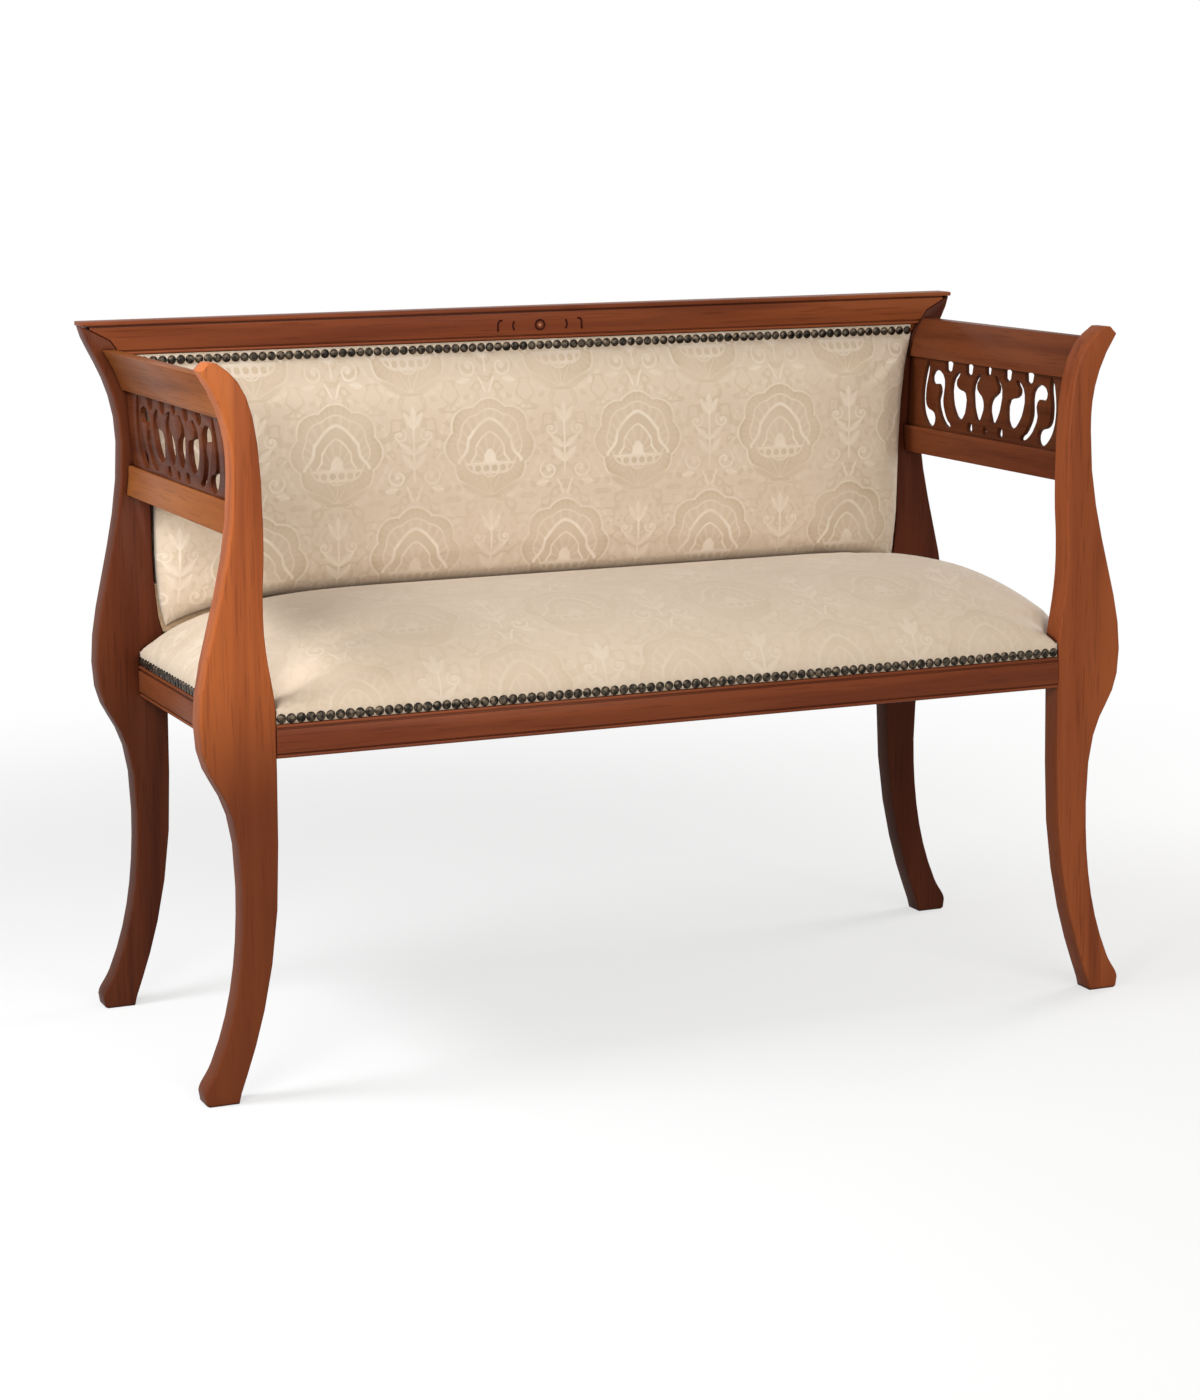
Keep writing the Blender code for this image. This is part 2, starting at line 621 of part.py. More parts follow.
make_coped_rail("crest_rail", crest_section(), WOOD,
                CREST_BOTTOM + TENON_SHOULDER, CREST_BEAD_BOTTOM - TENON_SHOULDER)
BACK_RAIL_TOP = BACK_RAIL_BOTTOM + BACK_RAIL_HEIGHT
make_coped_rail(
    "back_rail_lower",
    [(BACK_FRAME_FRONT, BACK_RAIL_BOTTOM), (BACK_FRAME_FRONT, BACK_RAIL_TOP),
     (BACK_FRAME_REAR, BACK_RAIL_TOP), (BACK_FRAME_REAR, BACK_RAIL_BOTTOM)],
    INNER_WOOD, BACK_RAIL_BOTTOM + TENON_SHOULDER, BACK_RAIL_TOP - TENON_SHOULDER)


def make_cap():
    """Thin moulded strip along the top of the back, over the crest rail and the rear horns."""
    bottom = CREST_TOP + FIT_GAP
    radius = CAP_HEIGHT / 2
    front = REAR_LEG_FRONT - CAP_OVERHANG + radius
    turns = [math.radians(90 + 30 * n) for n in range(7)]
    nose = [(front + radius * math.cos(t), bottom + radius + radius * math.sin(t)) for t in turns]
    section = nose + [(BACK, bottom), (BACK, bottom + CAP_HEIGHT)]
    length = 2 * (LEG_LINE + OUTER_REAR[-1][0] + CAP_REACH)
    cap = board("crest_cap", section, length, FACING_SIDE, (0, 0, 0), WOOD)
    smooth(cap)


make_cap()


# Webbing
def make_seat_webs():
    pitch = (SEAT_SPAN - SEAT_WEB_WIDTH / 2) / SEAT_WEBS
    front = FRONT + REBATE + RAIL_BOARD / 6
    back = BACK - REBATE - RAIL_BOARD / 6
    for number in range(SEAT_WEBS):
        centre = (number - (SEAT_WEBS - 1) / 2) * pitch
        low, high = centre - SEAT_WEB_WIDTH / 2, centre + SEAT_WEB_WIDTH / 2
        outline = [(low, front), (high, front), (high, back), (low, back)]
        board(f"seat_web_{number + 1}", outline, WEB_THICK, FLAT, (0, 0, WEB_TOP - WEB_THICK / 2), WEBBING)


WEB_BACK_TOP = CREST_BEAD_BOTTOM - FIT_GAP - BACK_PAD_FLANGE / 3


def make_back_webs():
    pitch = (SEAT_SPAN - BACK_WEB_WIDTH / 2) / BACK_WEBS
    middle_y = BACK_FRAME_FRONT - FIT_GAP - WEB_THICK / 2
    bottom = BACK_RAIL_BOTTOM + BACK_RAIL_HEIGHT / 3
    for number in range(BACK_WEBS):
        centre = (number - (BACK_WEBS - 1) / 2) * pitch
        low, high = centre - BACK_WEB_WIDTH / 2, centre + BACK_WEB_WIDTH / 2
        outline = [(low, bottom), (high, bottom), (high, WEB_BACK_TOP), (low, WEB_BACK_TOP)]
        board(f"back_web_{number + 1}", outline, WEB_THICK, FACING_FRONT, (0, middle_y, 0), WEBBING)


make_seat_webs()
make_back_webs()


# Seat pad
COVER_BOTTOM = NAIL_LINE + FIT_GAP
COVER_EDGE = COVER_BOTTOM + SEAT_EDGE_HEIGHT
COVER_SIDE = SIDE_FACE - REBATE + FIT_GAP + FABRIC
COVER_FRONT = FRONT + REBATE - FIT_GAP - FABRIC
COVER_BACK = REAR_LEG_FRONT - PAD_CLEARANCE
CROWN_Y = FRONT + CROWN_BEHIND_FRONT


def fullness(t, powers):
    """Height of a pad's section: 1 at its middle, where t is 0, and 0 at its edge, where t is 1."""
    hold, rounding = powers
    return (1 - min(abs(t), 1.0) ** hold) ** rounding


def front_to_back(y, front, back):
    if y < CROWN_Y:
        return fullness((CROWN_Y - y) / (CROWN_Y - front), SEAT_NOSE)
    t = (y - CROWN_Y) / (back - CROWN_Y)
    return (1 - SEAT_BACK_FALL * t * t) * fullness(t, SEAT_REAR)


def eased(n, count):
    """Grid position from -1 to 1, closer together towards both edges."""
    t = -1 + 2 * n / count
    return math.sin(t * math.pi / 2) * EDGE_CROWDING + t * (1 - EDGE_CROWDING)


def with_line_at(lines, wanted):
    """Grid lines with the nearest inner one moved to a wanted place."""
    nearest = min(range(1, len(lines) - 1), key=lambda n: abs(lines[n] - wanted))
    return lines[:nearest] + [wanted] + lines[nearest + 1:]


def mesh_of(shape, name, facing):
    """The shape as a mesh whose faces look the given way on the whole."""
    bmesh.ops.recalc_face_normals(shape, faces=shape.faces)
    whole = sum((face.normal * face.calc_area() for face in shape.faces), Vector())
    closed = not any(edge.is_boundary for edge in shape.edges)
    if not closed and whole.dot(Vector(facing)) < 0:
        bmesh.ops.reverse_faces(shape, faces=shape.faces)
    mesh = bpy.data.meshes.new(name)
    shape.to_mesh(mesh)
    shape.free()
    return mesh


def grid_faces(shape, rows, wanted=lambda x, y: True):
    """Faces between rows of corners, and no corner that no face uses."""
    for near, far in zip(rows[:-1], rows[1:]):
        for corners in zip(near[:-1], near[1:], far[1:], far[:-1]):
            middle = sum((corner.co for corner in corners), Vector()) / 4
            if wanted(middle.x, middle.y):
                shape.faces.new(corners)
    bmesh.ops.delete(shape, geom=[v for v in shape.verts if not v.link_faces], context="VERTS")


def drop_rim(shape, rim, place):
    """Extrude a rim and put its new corners in place."""
    for vert in bmesh.ops.extrude_edge_only(shape, edges=rim)["geom"]:
        if isinstance(vert, bmesh.types.BMVert):
            place(vert)


def seat_surface(grid, inset, base, crown):
    """Crowned top, notched round the front legs, with straight sides down to the webbing."""
    across, deep = grid
    half_width = COVER_SIDE - inset
    front, back = COVER_FRONT + inset, COVER_BACK - inset
    notch_x = LEG_LINE - PAD_CLEARANCE - inset
    notch_y = FRONT_LEG_BACK + PAD_CLEARANCE + inset
    xs = [half_width * eased(i, across) for i in range(across + 1)]
    xs = with_line_at(with_line_at(xs, notch_x), -notch_x)
    ys = [front + (back - front) * (eased(j, deep) + 1) / 2 for j in range(deep + 1)]
    ys = with_line_at(ys, notch_y)

    def height(x, y):
        t = min(max((y - notch_y) / SEAT_SHOULDER, 0.0), 1.0)
        reach = notch_x + (half_width - notch_x) * t * t * (3 - 2 * t)
        return base + crown * fullness(x / reach, SEAT_SIDES) * front_to_back(y, front, back)

    def on_pad(x, y):
        return abs(x) < notch_x or y > notch_y

    shape = bmesh.new()
    rows = [[shape.verts.new((x, y, height(x, y))) for x in xs] for y in ys]
    grid_faces(shape, rows, on_pad)

    def lower(vert):
        vert.co.z = WEB_TOP + FIT_GAP

    drop_rim(shape, [e for e in shape.edges if e.is_boundary], lower)
    return shape


def add_nailed_skirt(shape):
    """Carry the front and the two sides of the cover down over the rails to the nail line."""
    def outside(edge):
        at_front = all(abs(v.co.y - COVER_FRONT) < FIT_GAP for v in edge.verts)
        at_side = all(abs(abs(v.co.x) - COVER_SIDE) < FIT_GAP for v in edge.verts)
        level = all(v.co.z < COVER_EDGE - FIT_GAP for v in edge.verts)
        return edge.is_boundary and level and (at_front or at_side)

    def lower(vert):
        vert.co.z = COVER_BOTTOM

    drop_rim(shape, [e for e in shape.edges if outside(e)], lower)


def cloth(name, mesh, thickness):
    """A sheet of cloth: the surface and a thickness behind it."""
    cover = keep(name, mesh, DAMASK)
    wall = cover.modifiers.new("cloth thickness", "SOLIDIFY")
    wall.thickness = thickness
    wall.offset = -1.0
    smooth(cover, 60)
    return cover


def close_holes(shape):
    bmesh.ops.holes_fill(shape, edges=[e for e in shape.edges if e.is_boundary], sides=0)


def make_seat_pad():
    cover = seat_surface(SEAT_GRID, 0.0, COVER_EDGE, SEAT_CROWN)
    add_nailed_skirt(cover)
    cloth("seat_cover", mesh_of(cover, "seat_cover", (0, 0, 1)), FABRIC)
    inset = FABRIC + FOAM_CLEARANCE
    foam = seat_surface(SEAT_GRID, inset, COVER_EDGE - inset, SEAT_CROWN - FOAM_CLEARANCE)
    close_holes(foam)
    smooth(keep("seat_foam", mesh_of(foam, "seat_foam", (0, 0, 1)), FOAM), 60)


make_seat_pad()


# Back pad
COVER_SEAT = BACK_FRAME_FRONT - 2 * FIT_GAP - WEB_THICK  # rear face of the cover, in front of the webs
COVER_FACE = COVER_SEAT - FABRIC
FLANGE_TOP = CREST_BEAD_BOTTOM - FIT_GAP
FLANGE_BOTTOM = FLANGE_TOP - BACK_PAD_FLANGE


def back_edge(z):
    """Half width of the back pad at a height: along the rear legs, with rounded lower corners."""
    drop = min(max((BACK_CORNER_TOP - z) / BACK_CORNER_HEIGHT, 0.0), 1.0)
    corner = BACK_CORNER_WIDTH * (1 - math.sqrt(1 - drop * drop))
    return LEG_LINE + offset_at(INNER_REAR, z) - BACK_PAD_CLEARANCE - corner


def back_foot(x):
    """Lower edge of the back pad, just above the rear of the seat cover."""
    rise = SEAT_CROWN * (1 - SEAT_BACK_FALL) * fullness(x / COVER_SIDE, SEAT_SIDES)
    return COVER_EDGE + rise + PAD_CLEARANCE


def back_swell(u, v):
    """How far the pad stands out, from 0 at its rim to 1: quick at the sides, softer at the top."""
    return fullness(u, BACK_SIDES) * fullness(1 - v, BACK_LOWER_EDGE) * fullness(v, BACK_UPPER_EDGE)


def back_surface(grid, inset, bulge, top, rear_y):
    """The pad's front, from its lower edge to a height, rim at a depth."""
    across, up = grid
    shape = bmesh.new()
    rows = []
    for j in range(up + 1):
        v = (eased(j, up) + 1) / 2
        row = []
        for i in range(across + 1):
            u = eased(i, across)
            bottom = back_foot(u * LEG_LINE) + inset
            z = bottom + (top - bottom) * v
            half = back_edge(z - inset) - inset
            row.append(shape.verts.new((u * half, rear_y - bulge * back_swell(u, v), z)))
        rows.append(row)
    grid_faces(shape, rows)
    return shape, rows


def make_back_pad():
    cover, rows = back_surface(BACK_GRID, 0.0, BACK_PAD_BULGE, FLANGE_BOTTOM, COVER_FACE)

    def raise_to_bead(vert):
        vert.co.z = FLANGE_TOP

    top_rim = [e for e in cover.edges if e.is_boundary and all(v in rows[-1] for v in e.verts)]
    drop_rim(cover, top_rim, raise_to_bead)
    cloth("back_cover", mesh_of(cover, "back_cover", (0, -1, 0)), FABRIC)
    inset = BACK_FOAM_INSET
    foam, rows = back_surface(BACK_GRID, inset, BACK_PAD_BULGE - FABRIC - FOAM_CLEARANCE,
                              FLANGE_BOTTOM - inset, COVER_FACE)

    def lay_on_webs(vert):
        vert.co.y = COVER_SEAT

    drop_rim(foam, [e for e in foam.edges if e.is_boundary], lay_on_webs)
    close_holes(foam)
    smooth(keep("back_foam", mesh_of(foam, "back_foam", (0, -1, 0)), FOAM), 60)


make_back_pad()


# Flat covers
def make_outer_back():
    """Cloth stretched over the back of the frame, from the crest rail to the rear seat rail."""
    low, high = NAIL_LINE + FIT_GAP, FLANGE_TOP
    levels = [low] + [z for x, z in edge_curve(INNER_REAR) if low < z < high] + [high]
    right = [(LEG_LINE + offset_at(INNER_REAR, z) - BACK_PAD_CLEARANCE, z) for z in levels]
    left = [(-x, z) for x, z in right[::-1]]
    middle_y = BACK_FRAME_REAR + FIT_GAP + OUTER_COVER_THICK / 2
    board("back_outer_cover", right + left, OUTER_COVER_THICK, FACING_FRONT, (0, middle_y, 0), DAMASK)


def make_dust_cover():
    """Thin black cloth under the seat frame, cut round the legs."""
    reach_x = SIDE_FACE - DUST_COVER_INSET
    reach_y = BACK - DUST_COVER_INSET
    leg_x = LEG_LINE - DUST_COVER_INSET
    leg_y = REAR_LEG_FRONT - DUST_COVER_INSET
    quarter = [(reach_x, leg_y), (leg_x, leg_y), (leg_x, reach_y)]
    outline = quarter + [(-x, y) for x, y in quarter[::-1]]
    outline += [(-x, -y) for x, y in quarter] + [(x, -y) for x, y in quarter[::-1]]
    middle_z = RAIL_BOTTOM - FIT_GAP - DUST_COVER_THICK / 2
    board("seat_dust_cover", outline, DUST_COVER_THICK, FLAT, (0, 0, middle_z), BLACK_CLOTH)


make_outer_back()
make_dust_cover()


# Nail rows, as one half-round strip along each nailed edge
def strip_section(face, outward, bottom):
    radius = NAIL_STRIP_WIDTH / 2
    turns = [math.radians(-90 + 30 * n) for n in range(7)]
    return [(face + outward * NAIL_STRIP_THICK * math.cos(t), bottom + radius + radius * math.sin(t))
            for t in turns]


def make_nail_strips():
    bottom = COVER_BOTTOM + FIT_GAP
    front_section = strip_section(COVER_FRONT - FIT_GAP, -1, bottom)
    front_length = 2 * (LEG_LINE - PAD_CLEARANCE)
    board("nail_strip_seat_front", front_section, front_length, FACING_SIDE, (0, 0, 0), BRONZE)
    side_length = REAR_LEG_FRONT - FRONT_LEG_BACK - 2 * PAD_CLEARANCE
    for side_name, side in SIDES:
        section = strip_section(side * (COVER_SIDE + FIT_GAP), side, bottom)
        board(f"nail_strip_seat_{side_name}", section, side_length, FACING_FRONT, (0, 0, 0), BRONZE)
    bottom = CREST_BEAD_BOTTOM - BACK_NAIL_DROP - NAIL_STRIP_WIDTH
    section = strip_section(COVER_FACE - FIT_GAP, -1, bottom)
    half = LEG_LINE + offset_at(INNER_REAR, bottom) - PAD_CLEARANCE
    board("nail_strip_back_top", section, 2 * half, FACING_SIDE, (0, 0, 0), BRONZE)


make_nail_strips()
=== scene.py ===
# %% [markdown]
# # A two-seat settee, dressed
# The frame of this settee is already modelled: curved board legs, moulded rails, pierced arm panels.
# This lesson gives it its surfaces. The wood gets soft edges and a lacquered grain, the seat and the
# back get stretched, padded cloth with a woven pattern, and the edges get their rows of nails.

# %% Load the frame
import math
from functools import partialmethod, reduce

import bmesh
import bpy
from mathutils import Matrix, Vector
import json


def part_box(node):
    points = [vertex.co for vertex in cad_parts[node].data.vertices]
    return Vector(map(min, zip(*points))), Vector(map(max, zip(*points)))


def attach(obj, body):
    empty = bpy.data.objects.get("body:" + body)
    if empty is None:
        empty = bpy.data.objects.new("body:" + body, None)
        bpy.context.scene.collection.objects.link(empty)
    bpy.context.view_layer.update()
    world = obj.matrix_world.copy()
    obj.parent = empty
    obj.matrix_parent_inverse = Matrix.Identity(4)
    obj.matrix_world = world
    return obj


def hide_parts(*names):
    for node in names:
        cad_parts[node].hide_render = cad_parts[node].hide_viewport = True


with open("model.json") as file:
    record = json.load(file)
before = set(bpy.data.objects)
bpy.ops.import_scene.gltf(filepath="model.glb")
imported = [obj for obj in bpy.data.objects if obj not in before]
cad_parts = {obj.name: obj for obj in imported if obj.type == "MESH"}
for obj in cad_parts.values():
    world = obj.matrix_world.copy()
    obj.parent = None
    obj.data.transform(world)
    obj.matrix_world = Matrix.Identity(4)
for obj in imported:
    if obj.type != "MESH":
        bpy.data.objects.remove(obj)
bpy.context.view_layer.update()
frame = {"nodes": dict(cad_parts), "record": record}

# %% [markdown]
# ## Sizes read from the frame
# Each soft piece takes its place from the solid that it covers, so the cloth follows the frame. Only
# roundings, such as the lower corners of the back pad, have sizes of their own.

# %% Places of the seat, the legs and the back
leg_low, leg_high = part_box("front_leg_right")
cover_low, cover_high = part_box("seat_cover")
back_low, back_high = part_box("back_cover")
outer_low, outer_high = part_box("back_outer_cover")
crest_low, crest_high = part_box("crest_rail")
LEG_LINE = leg_low.x
FRONT = leg_low.y
FRONT_LEG_BACK = leg_high.y
REAR_LEG_FRONT = -FRONT_LEG_BACK
print("clear width between the legs:", round(2 * LEG_LINE, 4), "depth:", round(-2 * FRONT, 4))

# %% [markdown]
# ## Small helpers
# A node tree is easier to read when its arithmetic looks like arithmetic. The class below lets a
# shader field be added, multiplied and compared with ordinary Python operators. Each operator adds
# one Math node, so the finished material is still an ordinary node tree.


# %% Shader arithmetic
def feed(tree, socket, value):
    """Link a field or another socket to a socket, or give it a plain value."""
    if isinstance(value, Field):
        value = value.socket
    if isinstance(value, bpy.types.NodeSocket):
        tree.links.new(value, socket)
    else:
        socket.default_value = value


def add_node(tree, kind, inputs=None, **settings):
    node = tree.nodes.new(kind)
    for name, value in settings.items():
        setattr(node, name, value)
    for name, value in (inputs or {}).items():
        feed(tree, node.inputs[name], value)
    return node


class Field:
    """A number that varies over a surface, as the output of a shader node."""

    def __init__(self, tree, socket):
        self.tree = tree
        self.socket = socket

    def operate(self, operation, *others):
        inputs = dict(enumerate((self, *others)))
        return Field(self.tree, add_node(self.tree, "ShaderNodeMath", inputs, operation=operation).outputs[0])

    __add__ = partialmethod(operate, "ADD")
    __sub__ = partialmethod(operate, "SUBTRACT")
    __mul__ = partialmethod(operate, "MULTIPLY")
    __truediv__ = partialmethod(operate, "DIVIDE")
    __neg__ = partialmethod(operate, "MULTIPLY", -1.0)
    __abs__ = partialmethod(operate, "ABSOLUTE")
    most = partialmethod(operate, "MAXIMUM")
    sine = partialmethod(operate, "SINE")
    cosine = partialmethod(operate, "COSINE")
    floor = partialmethod(operate, "FLOOR")
    fraction = partialmethod(operate, "FRACT")

    def __rsub__(self, number):
        return -self + number

    def ripple(self):
        return abs(self.sine())


def length_of(a, b):
    return (a * a + b * b).operate("SQRT")


def step_between(field, start, end):
    """0 where the field is under start, 1 where it is over end, and smooth between."""
    node = add_node(field.tree, "ShaderNodeMapRange", {
        "Value": field, "From Min": min(start, end), "From Max": max(start, end),
        "To Min": float(start > end), "To Max": float(start < end)}, interpolation_type="SMOOTHSTEP")
    return Field(field.tree, node.outputs[0])


def object_position(tree, stretch=(1, 1, 1)):
    """Object coordinates, stretched, as a vector socket."""
    place = add_node(tree, "ShaderNodeTexCoord").outputs["Object"]
    return add_node(tree, "ShaderNodeMapping", {"Vector": place, "Scale": stretch}).outputs["Vector"]


def parts_of(tree, vector):
    """The X, Y and Z of a vector, as fields."""
    return [Field(tree, part) for part in add_node(tree, "ShaderNodeSeparateXYZ", {0: vector}).outputs]


def noise(tree, vector, scale, detail=4.0, roughness=0.5, distortion=0.0):
    """Noise over a vector, or over the object's own coordinates, stretched by a list."""
    if not isinstance(vector, bpy.types.NodeSocket):
        vector = object_position(tree, vector)
    return Field(tree, add_node(tree, "ShaderNodeTexNoise", {
        "Vector": vector, "Scale": scale, "Detail": detail, "Roughness": roughness,
        "Distortion": distortion}).outputs[0])


def colour_between(tree, share, first, second):
    """A colour that goes from the first to the second as the share goes from 0 to 1."""
    node = add_node(tree, "ShaderNodeMix", {}, data_type="RGBA")
    feed(tree, node.inputs["Factor"], share)
    for name, value in (("A", first), ("B", second)):
        socket = [s for s in node.inputs if s.name == name and s.type == "RGBA"][0]
        feed(tree, socket, (*value, 1.0) if isinstance(value, tuple) else value)
    return [s for s in node.outputs if s.type == "RGBA"][0]


def new_material(name, colour, roughness, more=None):
    """A material and its shader, with its even values on the shader's own sockets."""
    material = bpy.data.materials.new(name)
    material.use_nodes = True
    shader = material.node_tree.nodes["Principled BSDF"]
    for socket, value in {"Base Color": (*colour, 1.0), "Roughness": roughness, **(more or {})}.items():
        shader.inputs[socket].default_value = value
    return material, material.node_tree, shader


def finish_shader(tree, shader, colour, relief, depth, roughness=None):
    """Give a shader its colour, its relief and, where that varies, its roughness."""
    feed(tree, shader.inputs["Base Color"], colour)
    if roughness is not None:
        feed(tree, shader.inputs["Roughness"], roughness)
    bump = add_node(tree, "ShaderNodeBump", {"Strength": 1.0, "Distance": depth, "Height": relief})
    feed(tree, shader.inputs["Normal"], bump.outputs["Normal"])


print("helpers ready")

# %% [markdown]
# ## The lacquered wood
# The frame is a fine-grained hardwood, with a warm reddish brown stain, lacquered to a satin gloss.
# Grain runs along each board, so the texture is stretched along one axis. Several materials share one
# recipe: some boards differ a little in tone, and some copies carry painted light or painted shade: a
# lighter copy for the lit front left leg, a more golden one for the lit left arm, and darker ones for
# the rear legs, the recessed frets and the right arm. Broad noise gives the drift of the stain,
# stretched noise gives the streaks, and very fine noise gives the pores, which also roughen the
# lacquer a little. An occlusion node darkens grooves, corners and places where parts meet, partly old
# stain and partly painted shade. The front left and rear legs also get painted shade towards the floor.


# %% Wood recipe
WOOD_LIGHT = (0.315, 0.084, 0.023)
WOOD_MIDDLE = (0.205, 0.048, 0.015)
WOOD_DARK = (0.060, 0.013, 0.006)
STAIN_AND_SHADE = (0.030, 0.007, 0.004)
STAIN_AND_SHADE_REACH = 0.008
GRAIN_STRETCH = 0.045
FOOT_SHADE_FADE = (0.58, 0.38)
PORE_DEPTH = 0.00018


def occluded_share(tree, reach, open_share, closed_share):
    """1 deep in a groove or a corner, where little light reaches, and 0 on an open face; it is used to paint
    shade into colours.
    """
    node = add_node(tree, "ShaderNodeAmbientOcclusion", {"Distance": reach}, samples=8)
    return step_between(Field(tree, node.outputs["AO"]), open_share, closed_share)


def make_wood(name, along, tint, foot=0.0):
    """Lacquered wood with its grain along an axis; the tint makes a board darker or more golden, which
    on some boards is painted light and on others painted shade. The foot value is how much painted
    shade darkens it below the seat."""
    light, middle, dark = [tuple(c * t for c, t in zip(tone, tint))
                           for tone in (WOOD_LIGHT, WOOD_MIDDLE, WOOD_DARK)]
    material, tree, shader = new_material(name, middle, 0.34, {
        "Specular IOR Level": 0.01, "Coat Weight": 0.09, "Coat Roughness": 0.22})
    stretch = [GRAIN_STRETCH if axis == along else 1.0 for axis in "xyz"]
    drift = noise(tree, [s * 1.6 + 0.5 for s in stretch], 3.6, 2.0, 0.5, 0.4)
    streaks = noise(tree, stretch, 54.0, 2.0, 0.5, 0.3)
    bands = noise(tree, [s * 1.2 for s in stretch], 15.0, 2.0, 0.5, 0.8)
    pores = noise(tree, [s * 0.8 if s < 1 else 1.0 for s in stretch], 420.0, 2.0)
    tone = step_between(drift * 0.50 + streaks * 0.14 + bands * 0.36, 0.34, 0.64)
    warm = colour_between(tree, tone, middle, light)
    figure = step_between(bands * 0.60 + streaks * 0.40, 0.50, 0.34)
    streaked = colour_between(tree, figure * 0.32, warm, dark)
    pitted = colour_between(tree, step_between(pores, 0.54, 0.70) * 0.30, streaked, dark)
    # Painted shade: darker towards the floor, below the seat.
    if foot:
        height = parts_of(tree, object_position(tree))[2]
        pitted = colour_between(tree, step_between(height + drift * 0.12, *FOOT_SHADE_FADE) * foot, pitted, dark)
    # Painted shade in grooves, corners and joints, partly old stain as well.
    stained_and_shaded = colour_between(tree, occluded_share(tree, STAIN_AND_SHADE_REACH, 0.78, 0.28) * 0.92, pitted, STAIN_AND_SHADE)
    finish_shader(tree, shader, stained_and_shaded, pores * 0.4 + streaks * 0.6, PORE_DEPTH,
                  pores * 0.12 + drift * 0.14 + 0.24)
    return material


wood_upright = make_wood("lacquered wood, upright", "z", (1.0, 1.0, 1.15))
# Painted light: a lighter copy for the lit front left leg, with painted shade towards the floor.
wood_front_left_painted_light = make_wood("lacquered wood, upright and lighter", "z", (1.34, 1.40, 1.35), 0.78)
# Painted shade: a darker copy for the rear legs, in the shade of the seat.
wood_rear_painted_shade = make_wood("lacquered wood, upright at the back", "z", (0.38, 0.37, 0.52), 0.20)
wood_across = make_wood("lacquered wood, across", "x", (0.86, 0.90, 1.10))
# A darker copy; on the right arm it stands for painted shade inside the settee.
wood_deep = make_wood("lacquered wood, front to back", "y", (0.60, 0.64, 0.85))
# Painted light: a more golden copy for the lit left arm.
wood_left_arm_painted_light = make_wood("lacquered wood, golden", "y", (0.90, 1.10, 1.00))
# Painted shade: a darker copy for the recessed frets between the arm rails.
wood_frets_painted_shade = make_wood("lacquered wood, dark", "y", (0.34, 0.34, 0.42))
print("wood materials: 7")

# %% [markdown]
# ## Wood that nobody sees
# Corner blocks, the brace and the lower back rail are bare, planed beech: streaks and flecks in pale
# colours, with no lacquer over them.


# %% Bare wood
def make_bare_wood():
    material, tree, shader = new_material("bare beech", (0.55, 0.38, 0.22), 0.62)
    streaks = noise(tree, (0.2, 1.0, 1.0), 55.0, 4.0, 0.6, 0.5)
    flecks = noise(tree, (0.3, 1.0, 1.0), 300.0, 2.0)
    base = colour_between(tree, step_between(streaks, 0.35, 0.65), (0.46, 0.30, 0.17), (0.62, 0.45, 0.28))
    flecked = colour_between(tree, step_between(flecks, 0.60, 0.70) * 0.5, base, (0.33, 0.19, 0.10))
    finish_shader(tree, shader, flecked, streaks * 0.5 + flecks * 0.5, 0.0003)
    return material


bare_wood = make_bare_wood()
print("bare wood:", bare_wood.name)

# %% [markdown]
# ## The damask
# Damask is woven in one or two close tones: the figure shows because its threads lie another way and
# catch the light. The pattern is a traditional one: rows of palmettes, each row set half a step
# aside, with curling scrolls between them. It could be an image, but a formula never blurs and needs
# no file. The cloth carries its own coordinates in metres, so the pattern runs over the rounded
# edges as the real cloth does. On the seat the figure is fainter, partly from wear and partly as
# painted sheen that washes it out, and the cloth there is a little darker as painted shade. Hollows,
# the cloth beside the legs and the band under the crest rail get painted shade as well.

# %% Damask sizes
PALMETTE_PITCH = 0.2085
ROW_HEIGHT = 0.1375
PALMETTE_RADIUS = 0.062
HALF_PITCH = PALMETTE_PITCH / PALMETTE_RADIUS / 2
LOBES = 3.9
GROUND_DARK = (0.590, 0.470, 0.350)
GROUND_LIGHT = (0.690, 0.568, 0.445)
FIGURE = (0.470, 0.355, 0.225)
HIGHLIGHT = (0.840, 0.740, 0.620)
THREAD_SHADE = (0.44, 0.33, 0.22)
# Colour of the painted shade on the cloth, in hollows, beside the legs and under the crest rail.
CLOTH_SHADE_COLOUR = (0.22, 0.155, 0.105)
print("palmettes every", PALMETTE_PITCH, "m, rows every", ROW_HEIGHT, "m")


# %% Outlines that a damask is drawn with
def inside(field, edge):
    """1 where the field is under 0, with a soft edge."""
    return step_between(field, edge, -edge)


def between(outer, inner, edge):
    """1 inside the outer outline and outside the inner one."""
    return inside(outer, edge) * inside(-inner, edge)


def line_at(field, width):
    """1 along the line where the field is 0."""
    return step_between(abs(field), width, width * 0.35)


def lobed(radius, angle, mean, drift, depth):
    """Distance outside a lobed wreath that drifts in or out from its top to its foot."""
    return radius - (angle.cosine() * drift + abs((angle * LOBES).cosine()) * depth + mean)


def arch(reach, up, lean, mean, rise, spread, cusp):
    """Distance outside a pointed arch whose foot spreads and whose edge has small cusps."""
    share = up / reach.most(0.001)
    squared = share * share
    wide = (1.0 - share) * (1.0 - share) * spread
    notches = (lean * 4.2).ripple() * cusp
    return reach - (squared * squared * rise + wide - notches + mean)


def spiral(a, b, centre, reach, turn):
    """A tendril that winds into a centre, and the button at its end."""
    x, y = a - centre[0], b - centre[1]
    radius = length_of(x, y)
    angle = x.operate("ARCTAN2", y) * (turn / math.tau)
    coil = ((radius / reach) * 1.35 - angle).fraction() - 0.5
    arm = step_between(abs(coil), 0.24, 0.09) * inside(radius - reach, 0.02)
    return arm.most(inside(radius - reach * 0.22, 0.02))


